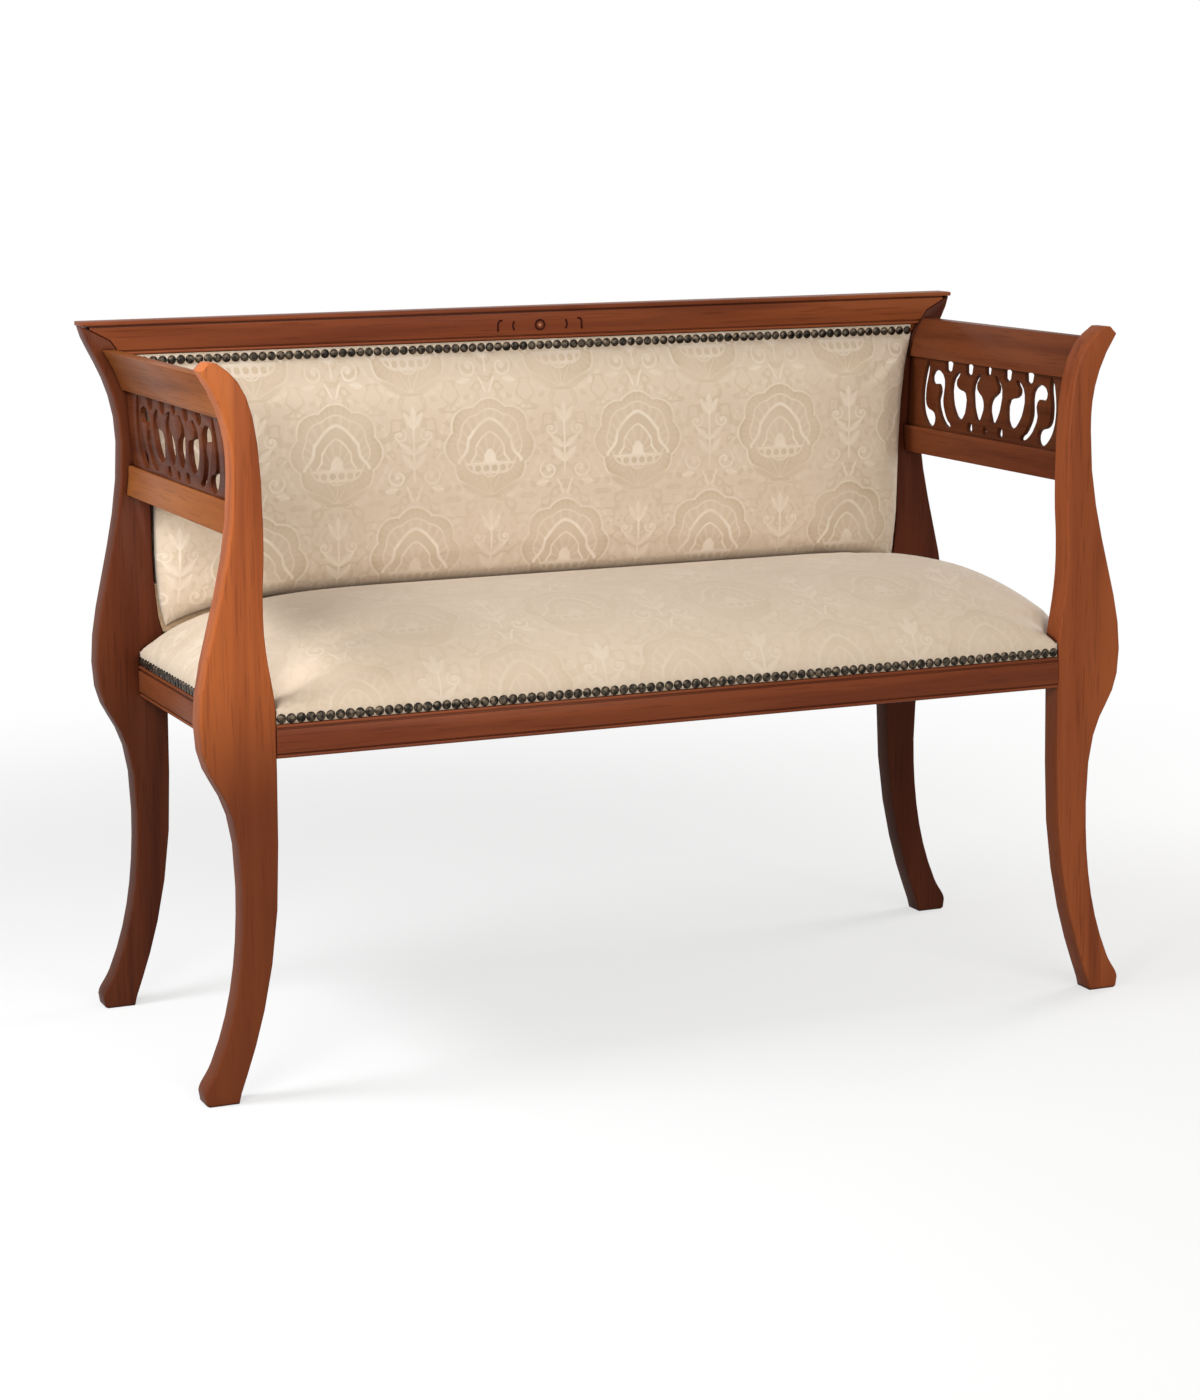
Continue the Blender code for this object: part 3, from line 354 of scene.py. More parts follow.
def leaf(a, b, foot, turn, length, width):
    """An almond leaf from its foot, turned from upright by some degrees, and its vein."""
    c, s = math.cos(math.radians(turn)), math.sin(math.radians(turn))
    x, y = a - foot[0], b - foot[1]
    along = x * (s / length) + y * (c / length)
    off = x * c - y * s
    blade = inside(abs(off) - along * (1.0 - along) * (4.0 * width), 0.012)
    return blade, line_at(off, 0.016) * blade


# %% Palmette
def palmette(a, b):
    """Figure and light lines of one palmette, the ground that it covers and the leaves round it."""
    radius = length_of(a, b)
    angle = a.operate("ARCTAN2", b)
    up = b + 0.34
    reach = length_of(a, up)
    lean = a.operate("ARCTAN2", up)
    above = step_between(up, -0.03, 0.02)
    foot_open = step_between(b, -0.84, -0.70)
    wreath = lobed(radius, angle, 0.88, 0.03, 0.12)
    hollow = lobed(radius, angle, 0.66, 0.07, 0.06)
    outer = arch(reach, up, lean, 0.58, 0.34, 0.13, 0.05)
    niche = arch(reach, up, lean, 0.38, 0.26, 0.05, 0.04)
    heart = arch(reach, up, lean, 0.15, 0.14, 0.02, 0.02)
    ribs = step_between((angle * (LOBES * 6)).ripple(), 0.15, 0.75)
    lobe = abs((angle * LOBES).cosine())
    rim = step_between(wreath, -0.16, -0.02) * 0.45
    band = between(wreath, hollow, 0.035) * (ribs * 0.28 + lobe * 0.20 + rim + 0.26)
    rays = step_between(abs((lean * 15.0).cosine()), 0.30, 0.80)
    fan = between(hollow, outer, 0.03) * rays * above * 0.55
    dome = between(outer, niche, 0.03) * above * 0.70
    petals = step_between(abs((lean * 7.5).cosine()), 0.25, 0.75)
    core = between(niche, heart, 0.02) * petals * above * 0.65
    beads = step_between((a * 17.0).ripple() * (b * 17.0).ripple(), 0.30, 0.60)
    basket = inside(abs(b + 0.56) - 0.19, 0.02) * inside(hollow, 0.03)
    belt = basket * beads * 0.9
    figure = (band * foot_open).most(fan).most(dome).most(core).most(belt)
    light = line_at(outer, 0.055).most(line_at(niche, 0.035) * 0.9).most(inside(heart, 0.03) * 0.9) * above
    edges = (line_at(wreath, 0.035) * 0.6).most(line_at(hollow, 0.03) * 0.5) * foot_open
    light = light.most(edges).most(line_at(b + 0.355, 0.03) * inside(hollow, 0.02) * 0.7)
    light = light.most(basket * (1.0 - beads) * 0.45)
    halo = inside(abs(radius - 1.13) - (angle * (LOBES * 4)).ripple() * 0.055, 0.02)
    return figure, light, inside(wreath, 0.03), halo


# %% Leaves, scrolls and vines
def leaves_of(a, b, *leaves):
    """Several leaves together, and their veins; each has its foot, turn, length and width."""
    return [reduce(Field.most, layer) for layer in zip(*[leaf(a, b, *shape) for shape in leaves])]


def calyx(a, b):
    """Leaves that hold a palmette, and the band on its stem."""
    side = abs(a)
    blades, veins = leaves_of(side, b, ((0.04, -1.02), 62, 0.78, 0.13), ((0.02, -0.98), 28, 0.52, 0.10),
                              ((0.0, -0.95), 0, 0.40, 0.07))
    band = inside(side - 0.26, 0.02) * inside(abs(b + 1.06) - 0.035, 0.015)
    return (blades * 0.8).most(band), veins * 0.35


def sprays(c, b):
    """Scrolls and leaves between two palmettes; c is measured from the middle of the gap."""
    scroll = spiral(c, b, (0.36, -0.56), 0.215, -1.0)
    upper = spiral(c, b, (0.30, 0.30), 0.15, 1.0)
    tail = line_at(c - (b + 0.78) * 0.42 - 0.16, 0.035) * inside(abs(b + 0.92) - 0.16, 0.03)
    stem = line_at(c, 0.035) * inside(abs(b + 0.05) - 0.62, 0.04)
    blades, veins = leaves_of(c, b, ((0.0, -0.42), 38, 0.42, 0.075), ((0.0, -0.12), 48, 0.44, 0.07),
                              ((0.0, 0.42), 30, 0.42, 0.075), ((0.0, 0.48), 0, 0.42, 0.075),
                              ((0.36, -0.80), 100, 0.30, 0.07))
    return scroll.most(upper).most(tail).most(stem).most(blades * 0.75), veins * 0.6


def vines(tree, across, along):
    """Fine curling lines all over the ground, mirrored about every palmette and every gap."""
    folded = abs((across / (PALMETTE_PITCH / 2) + 0.5).fraction() - 0.5) * HALF_PITCH
    place = add_node(tree, "ShaderNodeCombineXYZ", {"X": folded, "Y": along / PALMETTE_RADIUS})
    contours = noise(tree, place.outputs[0], 3.0, 1.0) * 3.6
    return step_between(abs(contours.fraction() - 0.5), 0.20, 0.10)


def damask_fields(tree):
    """Figure, light lines and filling over the whole cloth, from its own coordinates in metres."""
    cloth = add_node(tree, "ShaderNodeUVMap", uv_map="cloth").outputs["UV"]
    flat_x, along, _ = parts_of(tree, cloth)
    across = flat_x + (noise(tree, cloth, 38.0, 2.0) - 0.5) * 0.0022
    row = (along / ROW_HEIGHT + 0.5).floor()
    b = (along - row * ROW_HEIGHT) / PALMETTE_RADIUS
    a = ((across / PALMETTE_PITCH + row * 0.5 + 0.5).fraction() - 0.5) * (PALMETTE_PITCH / PALMETTE_RADIUS)
    figure, light, covered, halo = palmette(a, b)
    leaves, leaf_veins = calyx(a, b)
    filling, veins = sprays(HALF_PITCH - abs(a), b)
    ground = 1.0 - covered
    figure = figure.most(vines(tree, across, along) * (1.0 - filling) * ground * 0.70)
    filling = filling.most(halo * 0.4) * ground
    return figure.most(leaves), light.most(leaf_veins).most(veins * ground), filling, cloth


# %% Damask material
# Heights from which the back cloth gets painted shade under the crest rail.
UNDER_CREST = back_high.z - 0.006
NEAR_CREST = back_high.z - 0.060


def thread_waves(tree, vector, direction, scale):
    return Field(tree, add_node(tree, "ShaderNodeTexWave", {
        "Vector": vector, "Scale": scale, "Distortion": 0.6, "Detail": 1.0},
        bands_direction=direction).outputs[1])


def make_damask(name, strength, lines=0.95, shade=1.0):
    """Woven cloth; strength and lines are how clearly its figure and its light lines show, and shade
    darkens every colour as painted shade. Hollows and the band under the crest rail get painted shade.
    """
    dark, pale, shaded, bright = [tuple(c * shade for c in tone)
                                  for tone in (GROUND_DARK, GROUND_LIGHT, FIGURE, HIGHLIGHT)]
    material, tree, shader = new_material(name, pale, 0.62, {
        "Specular IOR Level": 0.30, "Sheen Weight": 0.12, "Sheen Roughness": 0.45})
    figure, light, filling, cloth = damask_fields(tree)
    slubs = noise(tree, cloth, 160.0, 3.0, 0.6)
    drift = noise(tree, cloth, 9.0, 2.0)
    warp = thread_waves(tree, cloth, "X", 260.0)
    weft = thread_waves(tree, cloth, "Y", 210.0)
    threads = warp * (figure * -0.5 + 0.75) + weft * (figure * 0.5 + 0.25)
    wear = step_between(noise(tree, cloth, 16.0, 3.0, 0.6), 0.30, 0.68) * 0.65 + 0.35
    figure, light, filling = figure * wear, light * wear, filling * wear
    ground = colour_between(tree, slubs * 0.55 + drift * 0.45, dark, pale)
    filled = colour_between(tree, filling * (0.62 * strength), ground, bright)
    figured = colour_between(tree, figure * (slubs * 0.5 + 0.45) * strength, filled, shaded)
    lit = colour_between(tree, light * (lines * strength), figured, bright)
    woven = colour_between(tree, threads * 0.18, lit, THREAD_SHADE)
    # Painted shade, carried in dust: the cloth darkens in hollows, beside the legs, and under and near the
    # crest rail.
    height = parts_of(tree, object_position(tree))[2]
    shade_under_crest = step_between(height, UNDER_CREST, back_high.z - 0.001) * 0.55
    shade_near_crest = step_between(height, NEAR_CREST, UNDER_CREST) * 0.26
    dust = (occluded_share(tree, 0.026, 0.74, 0.26) * 0.38).most(shade_under_crest.most(shade_near_crest))
    relief = figure * (0.45 * strength) + light * (0.4 * strength)
    finish_shader(tree, shader, colour_between(tree, dust, woven, CLOTH_SHADE_COLOUR),
                  threads * 0.35 + relief + slubs * 0.25, 0.0004, figure * -0.12 + slubs * 0.10 + 0.60)
    return material


damask = make_damask("cream damask", 0.84)
# The seat's copy: its figure fainter, partly wear and partly painted sheen, and all darker as painted shade.
seat_damask_painted_shade_and_sheen = make_damask("cream damask of the seat", 0.50, 0.45, 0.95)
print("damask nodes:", len(damask.node_tree.nodes))

# %% [markdown]
# ## The other soft finishes
# Foam is dull and full of pores, webbing is a coarse jute weave, and the cloth under the seat is a
# thin black one. They hardly show, but a reader who opens the settee up finds them finished.


# %% Foam, webbing and black cloth
def make_foam():
    material, tree, shader = new_material("foam", (0.80, 0.73, 0.50), 0.95)
    pores = noise(tree, (1, 1, 1), 700.0, 2.0)
    cells = colour_between(tree, step_between(pores, 0.40, 0.62), (0.66, 0.58, 0.36), (0.84, 0.77, 0.55))
    finish_shader(tree, shader, cells, pores, 0.0008)
    return material


def make_webbing(name, dark, pale, scale):
    material, tree, shader = new_material(name, pale, 0.88)
    place = object_position(tree)
    crossed = thread_waves(tree, place, "X", scale) * thread_waves(tree, place, "Y", scale)
    tone = crossed * 0.6 + noise(tree, place, 500.0, 2.0) * 0.4
    finish_shader(tree, shader, colour_between(tree, tone, dark, pale), tone, 0.0006)
    return material


foam = make_foam()
webbing = make_webbing("jute webbing", (0.20, 0.14, 0.08), (0.48, 0.37, 0.24), 110.0)
black_cloth = make_webbing("black lining cloth", (0.010, 0.010, 0.011), (0.045, 0.044, 0.045), 260.0)
print("soft finishes:", foam.name, webbing.name, black_cloth.name)

# %% [markdown]
# ## Aged bronze
# The nails are small bronze domes, dark where the patina stays and brighter where hands and cloth
# have rubbed them.


# %% Nail metal
def make_bronze():
    material, tree, shader = new_material("aged bronze", (0.060, 0.045, 0.030), 0.34, {"Metallic": 0.85})
    patina = noise(tree, (1, 1, 1), 190.0, 2.0, 0.5)
    share = step_between(patina, 0.36, 0.70)
    rubbed = colour_between(tree, share, (0.010, 0.008, 0.006), (0.095, 0.070, 0.047))
    finish_shader(tree, shader, rubbed, patina, 0.00008, patina * 0.25 + 0.20)
    return material


bronze = make_bronze()
print("nail metal:", bronze.name)

# %% [markdown]
# ## Wood with soft edges
# A board that has been sanded and lacquered has no sharp edge: each arris carries a thin highlight.
# The solids are exact but plain, so each visible board is a copy of its solid, with its triangles
# merged back into whole faces, a small bevel on every arris and smooth shading over the curves.

# %% Dressed boards
ARRIS = 0.0007
SAME_POINT = 2e-5
SAME_FACE = math.radians(0.6)
SHARP = math.radians(50)


def put_in_scene(name, data):
    item = bpy.data.objects.new(name, data)
    bpy.context.scene.collection.objects.link(item)
    return item


def mesh_of(shape, name):
    mesh = bpy.data.meshes.new(name)
    shape.to_mesh(mesh)
    shape.free()
    return mesh


def modified(name, data, kind, **settings):
    """The mesh that an object has after one modifier."""
    holder = put_in_scene(name, data)
    modifier = holder.modifiers.new(name, kind)
    for setting, value in settings.items():
        setattr(modifier, setting, value)
    return applied(holder)


def finished_mesh(name, mesh, material, node=None):
    piece = put_in_scene(name, mesh)
    mesh.materials.clear()
    mesh.materials.append(material)
    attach(piece, "root")
    if node:
        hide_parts(node)
    return piece


def applied(piece):
    """The object's evaluated mesh, with no modifier left."""
    bpy.context.view_layer.update()
    graph = bpy.context.evaluated_depsgraph_get()
    mesh = bpy.data.meshes.new_from_object(piece.evaluated_get(graph))
    bpy.data.objects.remove(piece, do_unlink=True)
    return mesh


def dress_board(node, material):
    """The solid with merged faces and bevelled edges, shaded smooth across its curves."""
    shape = bmesh.new()
    shape.from_mesh(frame["nodes"][node].data)
    bmesh.ops.remove_doubles(shape, verts=shape.verts, dist=SAME_POINT)
    bmesh.ops.dissolve_limit(shape, angle_limit=SAME_FACE, verts=shape.verts, edges=shape.edges)
    mesh = modified("board to bevel", mesh_of(shape, "plain board"), "BEVEL", width=ARRIS, segments=2,
                    limit_method="ANGLE", angle_limit=math.radians(30))
    mesh.shade_smooth()
    mesh.set_sharp_from_angle(angle=SHARP)
    mesh.name = node + " boards"
    return finished_mesh(node + "_lacquered", mesh, material, node)


board_materials = {
    "front_leg_left": wood_front_left_painted_light, "front_leg_right": wood_upright,
    "rear_leg_left": wood_rear_painted_shade, "rear_leg_right": wood_rear_painted_shade,
    "seat_rail_front": wood_across, "seat_rail_rear": wood_across,
    "seat_rail_left": wood_deep, "seat_rail_right": wood_deep,
    "crest_rail": wood_across, "crest_cap": wood_across,
    # Left arm rails take the copy with painted light, the right ones the darker copy as painted shade.
    "arm_rail_upper_left": wood_left_arm_painted_light, "arm_rail_upper_right": wood_deep,
    "arm_rail_lower_left": wood_left_arm_painted_light, "arm_rail_lower_right": wood_deep,
    "arm_fret_left": wood_frets_painted_shade, "arm_fret_right": wood_frets_painted_shade,
}
for node, material in board_materials.items():
    board = dress_board(node, material)
    print(board.name, len(board.data.polygons))

# %% Hidden frame
hidden_finish = {"bare_beech": bare_wood, "webbing": webbing}
for entry in frame["record"]["subparts"]:
    finish = hidden_finish.get(entry["material_slot"])
    if finish is not None:
        for place in frame["nodes"][entry["node"]].material_slots:
            place.material = finish
print("bare wood and webbing given their finishes")

# %% [markdown]
# ## The seat pad
# The seat is one sheet of damask pulled over foam and nailed to the rails. Its crown rises steeply
# at the front, keeps nearly level, and falls gently to the back. At each front corner the cloth
# rounds down beside the leg. A formula sets that shape, and a short cloth simulation then lets the
# sheet swell and pull between the places where it is held, which gives the slight unevenness of real
# upholstery.

# %% Shape of the seat
SKIRT_TOP = cover_low.z + 0.0175
SEAT_TOP = cover_high.z + 0.001
SIDE_EDGE = cover_high.x + 0.0008
FRONT_EDGE = cover_low.y - 0.0008
REAR_EDGE = cover_high.y
CROWN_AT = FRONT + 0.220
REAR_FALL = 0.25
NOTCH_GAP = 0.0012
CORNER_REACH = 0.030
LEFT_SIDE = (6.5, 0.68)
RIGHT_SIDE = (14.0, 0.58)
NOSE = (2.0, 0.52)
REAR_ROUND = (30.0, 0.50)


def fullness(t, powers):
    """Height of a pad's section: 1 at its middle, where t is 0, and 0 at its edge, where t is 1."""
    hold, rounding = powers
    return (1 - min(abs(t), 1.0) ** hold) ** rounding


def ease(value, start, end):
    t = min(max((value - start) / (end - start), 0.0), 1.0)
    return t * t * (3 - 2 * t)


def half_width(y):
    """Half width of the pad: between the front legs at the front, out to the side rails behind them."""
    narrow = LEG_LINE - NOTCH_GAP
    return narrow + (SIDE_EDGE - narrow) * ease(y, FRONT_LEG_BACK, FRONT_LEG_BACK + CORNER_REACH)


def seat_height(x, y, inset=0.0):
    powers = LEFT_SIDE if x < 0 else RIGHT_SIDE
    across = fullness(x / (half_width(y) - inset), powers)
    front, rear = FRONT_EDGE + inset, REAR_EDGE - inset
    if y < CROWN_AT:
        deep = fullness((CROWN_AT - y) / (CROWN_AT - front), NOSE)
    else:
        t = (y - CROWN_AT) / (rear - CROWN_AT)
        deep = (1 - REAR_FALL * t * t) * fullness(t, REAR_ROUND)
    return SKIRT_TOP - inset + (SEAT_TOP - SKIRT_TOP) * across * deep


print("crown of the seat:", round(seat_height(0, CROWN_AT), 4))


# %% Grid of the seat cloth
def eased_steps(count, crowding):
    """Positions from -1 to 1, closer together towards both ends."""
    evenly = [-1 + 2 * n / count for n in range(count + 1)]
    return [math.sin(t * math.pi / 2) * crowding + t * (1 - crowding) for t in evenly]


def with_lines_at(lines, *places):
    """Grid lines with the nearest inner one moved to each wanted place."""
    for wanted in places:
        nearest = min(range(1, len(lines) - 1), key=lambda n: abs(lines[n] - wanted))
        lines = lines[:nearest] + [wanted] + lines[nearest + 1:]
    return lines


def grid_sheet(lines, kept=lambda middle: True):
    """Open sheet through lines of corners, each given as its place and its place on the flat cloth."""
    shape = bmesh.new()
    flat = {}
    rows = []
    for line in lines:
        row = [shape.verts.new(place) for place, _ in line]
        flat.update(zip(row, [spot for _, spot in line]))
        rows.append(row)
    for near, far in zip(rows[:-1], rows[1:]):
        for corners in zip(near[:-1], near[1:], far[1:], far[:-1]):
            if kept(sum((c.co for c in corners), Vector()) / 4):
                shape.faces.new(corners)
    bare = [v for v in shape.verts if not v.link_faces]
    for vert in bare:
        del flat[vert]
    bmesh.ops.delete(shape, geom=bare, context="VERTS")
    return shape, flat, rows


def running_length(points):
    """Distance along a line of points, from its first point."""
    total, lengths = 0.0, [0.0]
    for a, b in zip(points[:-1], points[1:]):
        total += (Vector(b) - Vector(a)).length
        lengths.append(total)
    return lengths


def seat_sheet(across, deep, inset=0.0):
    """Open sheet over the seat, notched round the front legs."""
    notch_x = LEG_LINE - NOTCH_GAP - inset
    notch_y = FRONT_LEG_BACK + NOTCH_GAP + inset
    xs = with_lines_at([(SIDE_EDGE - inset) * t for t in eased_steps(across, 0.45)], notch_x, -notch_x)
    front, rear = FRONT_EDGE + inset, REAR_EDGE - inset
    ys = with_lines_at([front + (rear - front) * (t + 1) / 2 for t in eased_steps(deep, 0.45)], notch_y)
    along = running_length([(0.0, y, seat_height(0.0, y, inset)) for y in ys])
    lines = [[((x, y, seat_height(x, y, inset)), (x, v)) for x in xs] for y, v in zip(ys, along)]
    return grid_sheet(lines, lambda middle: abs(middle.x) < notch_x or middle.y > notch_y)[:2]


def extend(shape, flat, edges, move):
    """Extrude edges; the move gives each new corner its place and its place on the flat cloth."""
    source = {}
    for edge in edges:
        for vert in edge.verts:
            source[tuple(round(c, 6) for c in vert.co)] = vert
    made = bmesh.ops.extrude_edge_only(shape, edges=edges)["geom"]
    fresh = [v for v in made if isinstance(v, bmesh.types.BMVert)]
    for vert in fresh:
        old = source[tuple(round(c, 6) for c in vert.co)]
        vert.co, flat[vert] = move(vert.co.copy(), flat[old])
    return [e for e in made if isinstance(e, bmesh.types.BMEdge) and e.is_boundary
            and all(v in fresh for v in e.verts)], fresh


SKIRT_ROWS = 3


def drop_skirts(shape, flat):
    """Front and side skirts down to the nail line, and a short tuck along every other edge."""
    held = []
    drop = (SKIRT_TOP - cover_low.z) / SKIRT_ROWS
    rest = [e for e in shape.edges if e.is_boundary]
    sides = []
    for out_x, out_y, edge_at in ((0, -1, -FRONT_EDGE), (1, 0, SIDE_EDGE), (-1, 0, SIDE_EDGE)):
        chosen = [e for e in rest if all(
            abs(v.co.x * out_x + v.co.y * out_y - edge_at) < 1e-5 for v in e.verts)]
        sides.append((out_x, out_y, chosen))
        rest = [e for e in rest if e not in chosen]
    for out_x, out_y, edges in sides:
        def lower(place, spot):
            return place - Vector((0, 0, drop)), (spot[0] + out_x * drop, spot[1] + out_y * drop)

        for _ in range(SKIRT_ROWS):
            edges, fresh = extend(shape, flat, edges, lower)
        held += fresh
    tucked = extend(shape, flat, rest, lambda place, spot: (place - Vector((0, 0, drop / 2)), spot))[1]
    return held + tucked


# %% Cloth helpers
CLOTH_SETTINGS = {"quality": 6, "mass": 0.25, "tension_stiffness": 18.0, "compression_stiffness": 10.0,
                  "shear_stiffness": 6.0, "bending_stiffness": 0.25, "vertex_group_mass": "held",
                  "use_pressure": True}
SWELL_FRAMES = 16


def sheet_mesh(name, shape, flat, towards):
    """Mesh of an open sheet that looks towards a direction, with its flat places as its map."""
    bmesh.ops.recalc_face_normals(shape, faces=shape.faces)
    layer = shape.loops.layers.uv.new("cloth")
    for face in shape.faces:
        for loop in face.loops:
            loop[layer].uv = flat[loop.vert]
    mesh = mesh_of(shape, name)
    if sum((p.normal * p.area for p in mesh.polygons), Vector()).dot(Vector(towards)) < 0:
        mesh.flip_normals()
    return mesh


def swell(mesh, held, pressure, limit, freedom):
    """Let a held sheet swell under pressure; no point moves further than its share of the limit."""
    before = [v.co.copy() for v in mesh.vertices]
    sheet = put_in_scene("sheet to swell", mesh.copy())
    sheet.vertex_groups.new(name="held").add(held, 1.0, "REPLACE")
    cloth = sheet.modifiers.new("cloth", "CLOTH")
    for name, value in CLOTH_SETTINGS.items():
        setattr(cloth.settings, name, value)
    cloth.settings.uniform_pressure_force = pressure
    cloth.settings.effector_weights.gravity = 0.0
    cloth.collision_settings.use_collision = False
    cloth.point_cache.frame_start = 1
    cloth.point_cache.frame_end = SWELL_FRAMES
    scene = bpy.context.scene
    for number in range(1, SWELL_FRAMES + 1):
        scene.frame_set(number)
    swollen = sheet.evaluated_get(bpy.context.evaluated_depsgraph_get()).data
    farthest = 0.0
    for index, start in enumerate(before):
        shift = swollen.vertices[index].co - start
        if shift.length > 0:
            shift *= freedom(start) * limit * math.tanh(shift.length / limit) / shift.length
        farthest = max(farthest, shift.length)
        mesh.vertices[index].co = start + shift
    bpy.data.objects.remove(sheet, do_unlink=True)
    scene.frame_set(1)
    print("swelled by up to", round(farthest * 1000, 1), "mm")


def cloth_piece(name, mesh, thickness, material, node):
    """The sheet with its thickness, as one closed piece."""
    finished = modified(name + " sheet", mesh, "SOLIDIFY", thickness=thickness, offset=-1.0)
    finished.shade_smooth()
    return finished_mesh(name, finished, material, node)


print("cloth helpers ready")

# %% Seat cover
SEAT_ACROSS, SEAT_DEEP = 150, 66
CLOTH = 0.0012
PUCKER = 0.0003
NAIL_PITCH = 0.0117


def pucker_near_nails(mesh):
    """Tiny pulls where each nail draws the cloth in along the front."""
    for vert in mesh.vertices:
        height = vert.co.z - cover_low.z
        fade = math.exp(-height / 0.012) * ease(height, 0.0, 0.006)
        if vert.co.y < FRONT_EDGE + 0.01:
            vert.co.y -= PUCKER * fade * math.cos(math.tau * vert.co.x / (2 * NAIL_PITCH))


def free_above_nails(point):
    """The cloth of the seat is tight along its nails and free a little above them."""
    return ease(point.z, cover_low.z + 0.014, cover_low.z + 0.036)


shape, flat = seat_sheet(SEAT_ACROSS, SEAT_DEEP)
held_verts = drop_skirts(shape, flat)
shape.verts.index_update()
held_points = [v.index for v in held_verts]
seat_mesh = sheet_mesh("seat cloth", shape, flat, (0, 0, 1))
swell(seat_mesh, held_points, 2.2, 0.0024, free_above_nails)
pucker_near_nails(seat_mesh)
seat_cover = cloth_piece("seat_cover_damask", seat_mesh, CLOTH, seat_damask_painted_shade_and_sheen, "seat_cover")
print("seat cover faces:", len(seat_cover.data.polygons))


# %% Seat foam
def closed_block(name, shape, drop_to, axis):
    """Close an open sheet into a block by carrying its rim to a plane."""
    rim = [e for e in shape.edges if e.is_boundary]
    for vert in bmesh.ops.extrude_edge_only(shape, edges=rim)["geom"]:
        if isinstance(vert, bmesh.types.BMVert):
            vert.co[axis] = drop_to
    bmesh.ops.holes_fill(shape, edges=[e for e in shape.edges if e.is_boundary], sides=0)
    bmesh.ops.recalc_face_normals(shape, faces=shape.faces)
    mesh = mesh_of(shape, name)
    mesh.shade_smooth()
    mesh.set_sharp_from_angle(angle=SHARP)
    return mesh


FOAM_INSET = 0.0035
seat_foam_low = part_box("seat_foam")[0].z
foam_mesh = closed_block("seat foam", seat_sheet(60, 28, FOAM_INSET)[0], seat_foam_low, 2)
seat_foam = finished_mesh("seat_foam_block", foam_mesh, foam, "seat_foam")
print("seat foam faces:", len(seat_foam.data.polygons))

# %% [markdown]
# ## The back pad
# The back is thinner: a flat pad between the rear legs, whose sides follow their curved inner edges.
# Its cloth is nailed tight under the crest rail and rolls over the foam at the sides and at the foot.
# The edges of the legs come from the solid of the cloth behind the pad, which already follows them.

# %% Edge of the back pad
FLANGE = 0.0150
CORNER_TOP = 0.535
CORNER_HEIGHT = 0.056
CORNER_WIDTH = 0.0085
FOOT_GAP = -0.0010
EDGE_LEVELS = 40


def widths_up(bottom, count):
    """Half width of the opening between the rear legs, at levels up to the top of the cloth behind."""
    mesh = frame["nodes"]["back_outer_cover"].data
    levels = []
    for n in range(count + 1):
        z = bottom + (outer_high.z - bottom) * n / count
        reach = 0.0
        for edge in mesh.edges:
            a, b = (mesh.vertices[i].co for i in edge.vertices)
            low, high = min(a.z, b.z), max(a.z, b.z)
            if low <= z <= high and high > low:
                t = (z - a.z) / (b.z - a.z)
                reach = max(reach, abs(a.x + (b.x - a.x) * t))
        levels.append((z, reach))
    return levels


edge_levels = widths_up(back_low.z, EDGE_LEVELS)


def back_half_width(z):
    """Half width of the opening between the rear legs at a height."""
    for (z0, w0), (z1, w1) in zip(edge_levels[:-1], edge_levels[1:]):
        if z <= z1:
            return w0 + (w1 - w0) * (z - z0) / (z1 - z0)
    return edge_levels[-1][1]


def back_edge(z):
    """Half width of the pad at a height, with its rounded lower corners."""
    drop = min(max((CORNER_TOP - z) / CORNER_HEIGHT, 0.0), 1.0)
    return back_half_width(z) - CORNER_WIDTH * (1 - math.sqrt(1 - drop * drop))


def back_foot(x):
    """Lower edge of the pad, which follows the rear of the seat."""
    powers = LEFT_SIDE if x < 0 else RIGHT_SIDE
    rise = (SEAT_TOP - SKIRT_TOP) * (1 - REAR_FALL) * fullness(x / SIDE_EDGE, powers)
    return SKIRT_TOP + rise + FOOT_GAP


print("half width of the back at its foot and top:",
      round(edge_levels[0][1], 4), round(edge_levels[-1][1], 4))

# %% Back cover
BACK_FACE = back_high.y - 0.0015
BACK_BULGE = BACK_FACE - back_low.y + 0.001
BACK_SIDES = (60.0, 0.45)
BACK_LOWER = (22.0, 0.50)
BACK_UPPER = (8.0, 0.62)
EDGE_GAP = 0.0006
BACK_ACROSS, BACK_UP = 150, 56
MOTIF_ACROSS, MOTIF_UP = -0.084, 0.697


def back_sheet(across, up, inset=0.0):
    top = back_high.z - FLANGE - inset
    lines = []
    for v in [(t + 1) / 2 for t in eased_steps(up, 0.80)]:
        sides = (BACK_SIDES[0] * (0.20 + 0.80 * ease(v, 0.0, 0.50)), BACK_SIDES[1])
        upright = fullness(1 - v, BACK_LOWER) * fullness(v, BACK_UPPER)
        line = []
        for u in eased_steps(across, 0.90):
            bottom = back_foot(u * LEG_LINE) + inset
            z = bottom + (top - bottom) * v
            x = u * (back_edge(z - inset) - EDGE_GAP - inset)
            line.append(((x, BACK_FACE - (BACK_BULGE - inset) * fullness(u, sides) * upright, z), (x, z)))
        lines.append(line)
    return grid_sheet(lines)


shape, flat, rows = back_sheet(BACK_ACROSS, BACK_UP)
top_row = set(rows[-1])
top_edges = [e for e in shape.edges if e.is_boundary and all(v in top_row for v in e.verts)]
held_back = []
lift_step = (back_high.z - rows[-1][0].co.z) / 2
for _ in range(2):
    top_edges, fresh = extend(shape, flat, top_edges, lambda place, spot: (
        place + Vector((0, 0, lift_step)), (spot[0], spot[1] + lift_step)))
    held_back += fresh
held_back += [v for v in shape.verts if v.is_boundary and v not in held_back]
flat = {vert: (u - MOTIF_ACROSS, v - MOTIF_UP) for vert, (u, v) in flat.items()}
shape.verts.index_update()
held_points = [v.index for v in held_back]


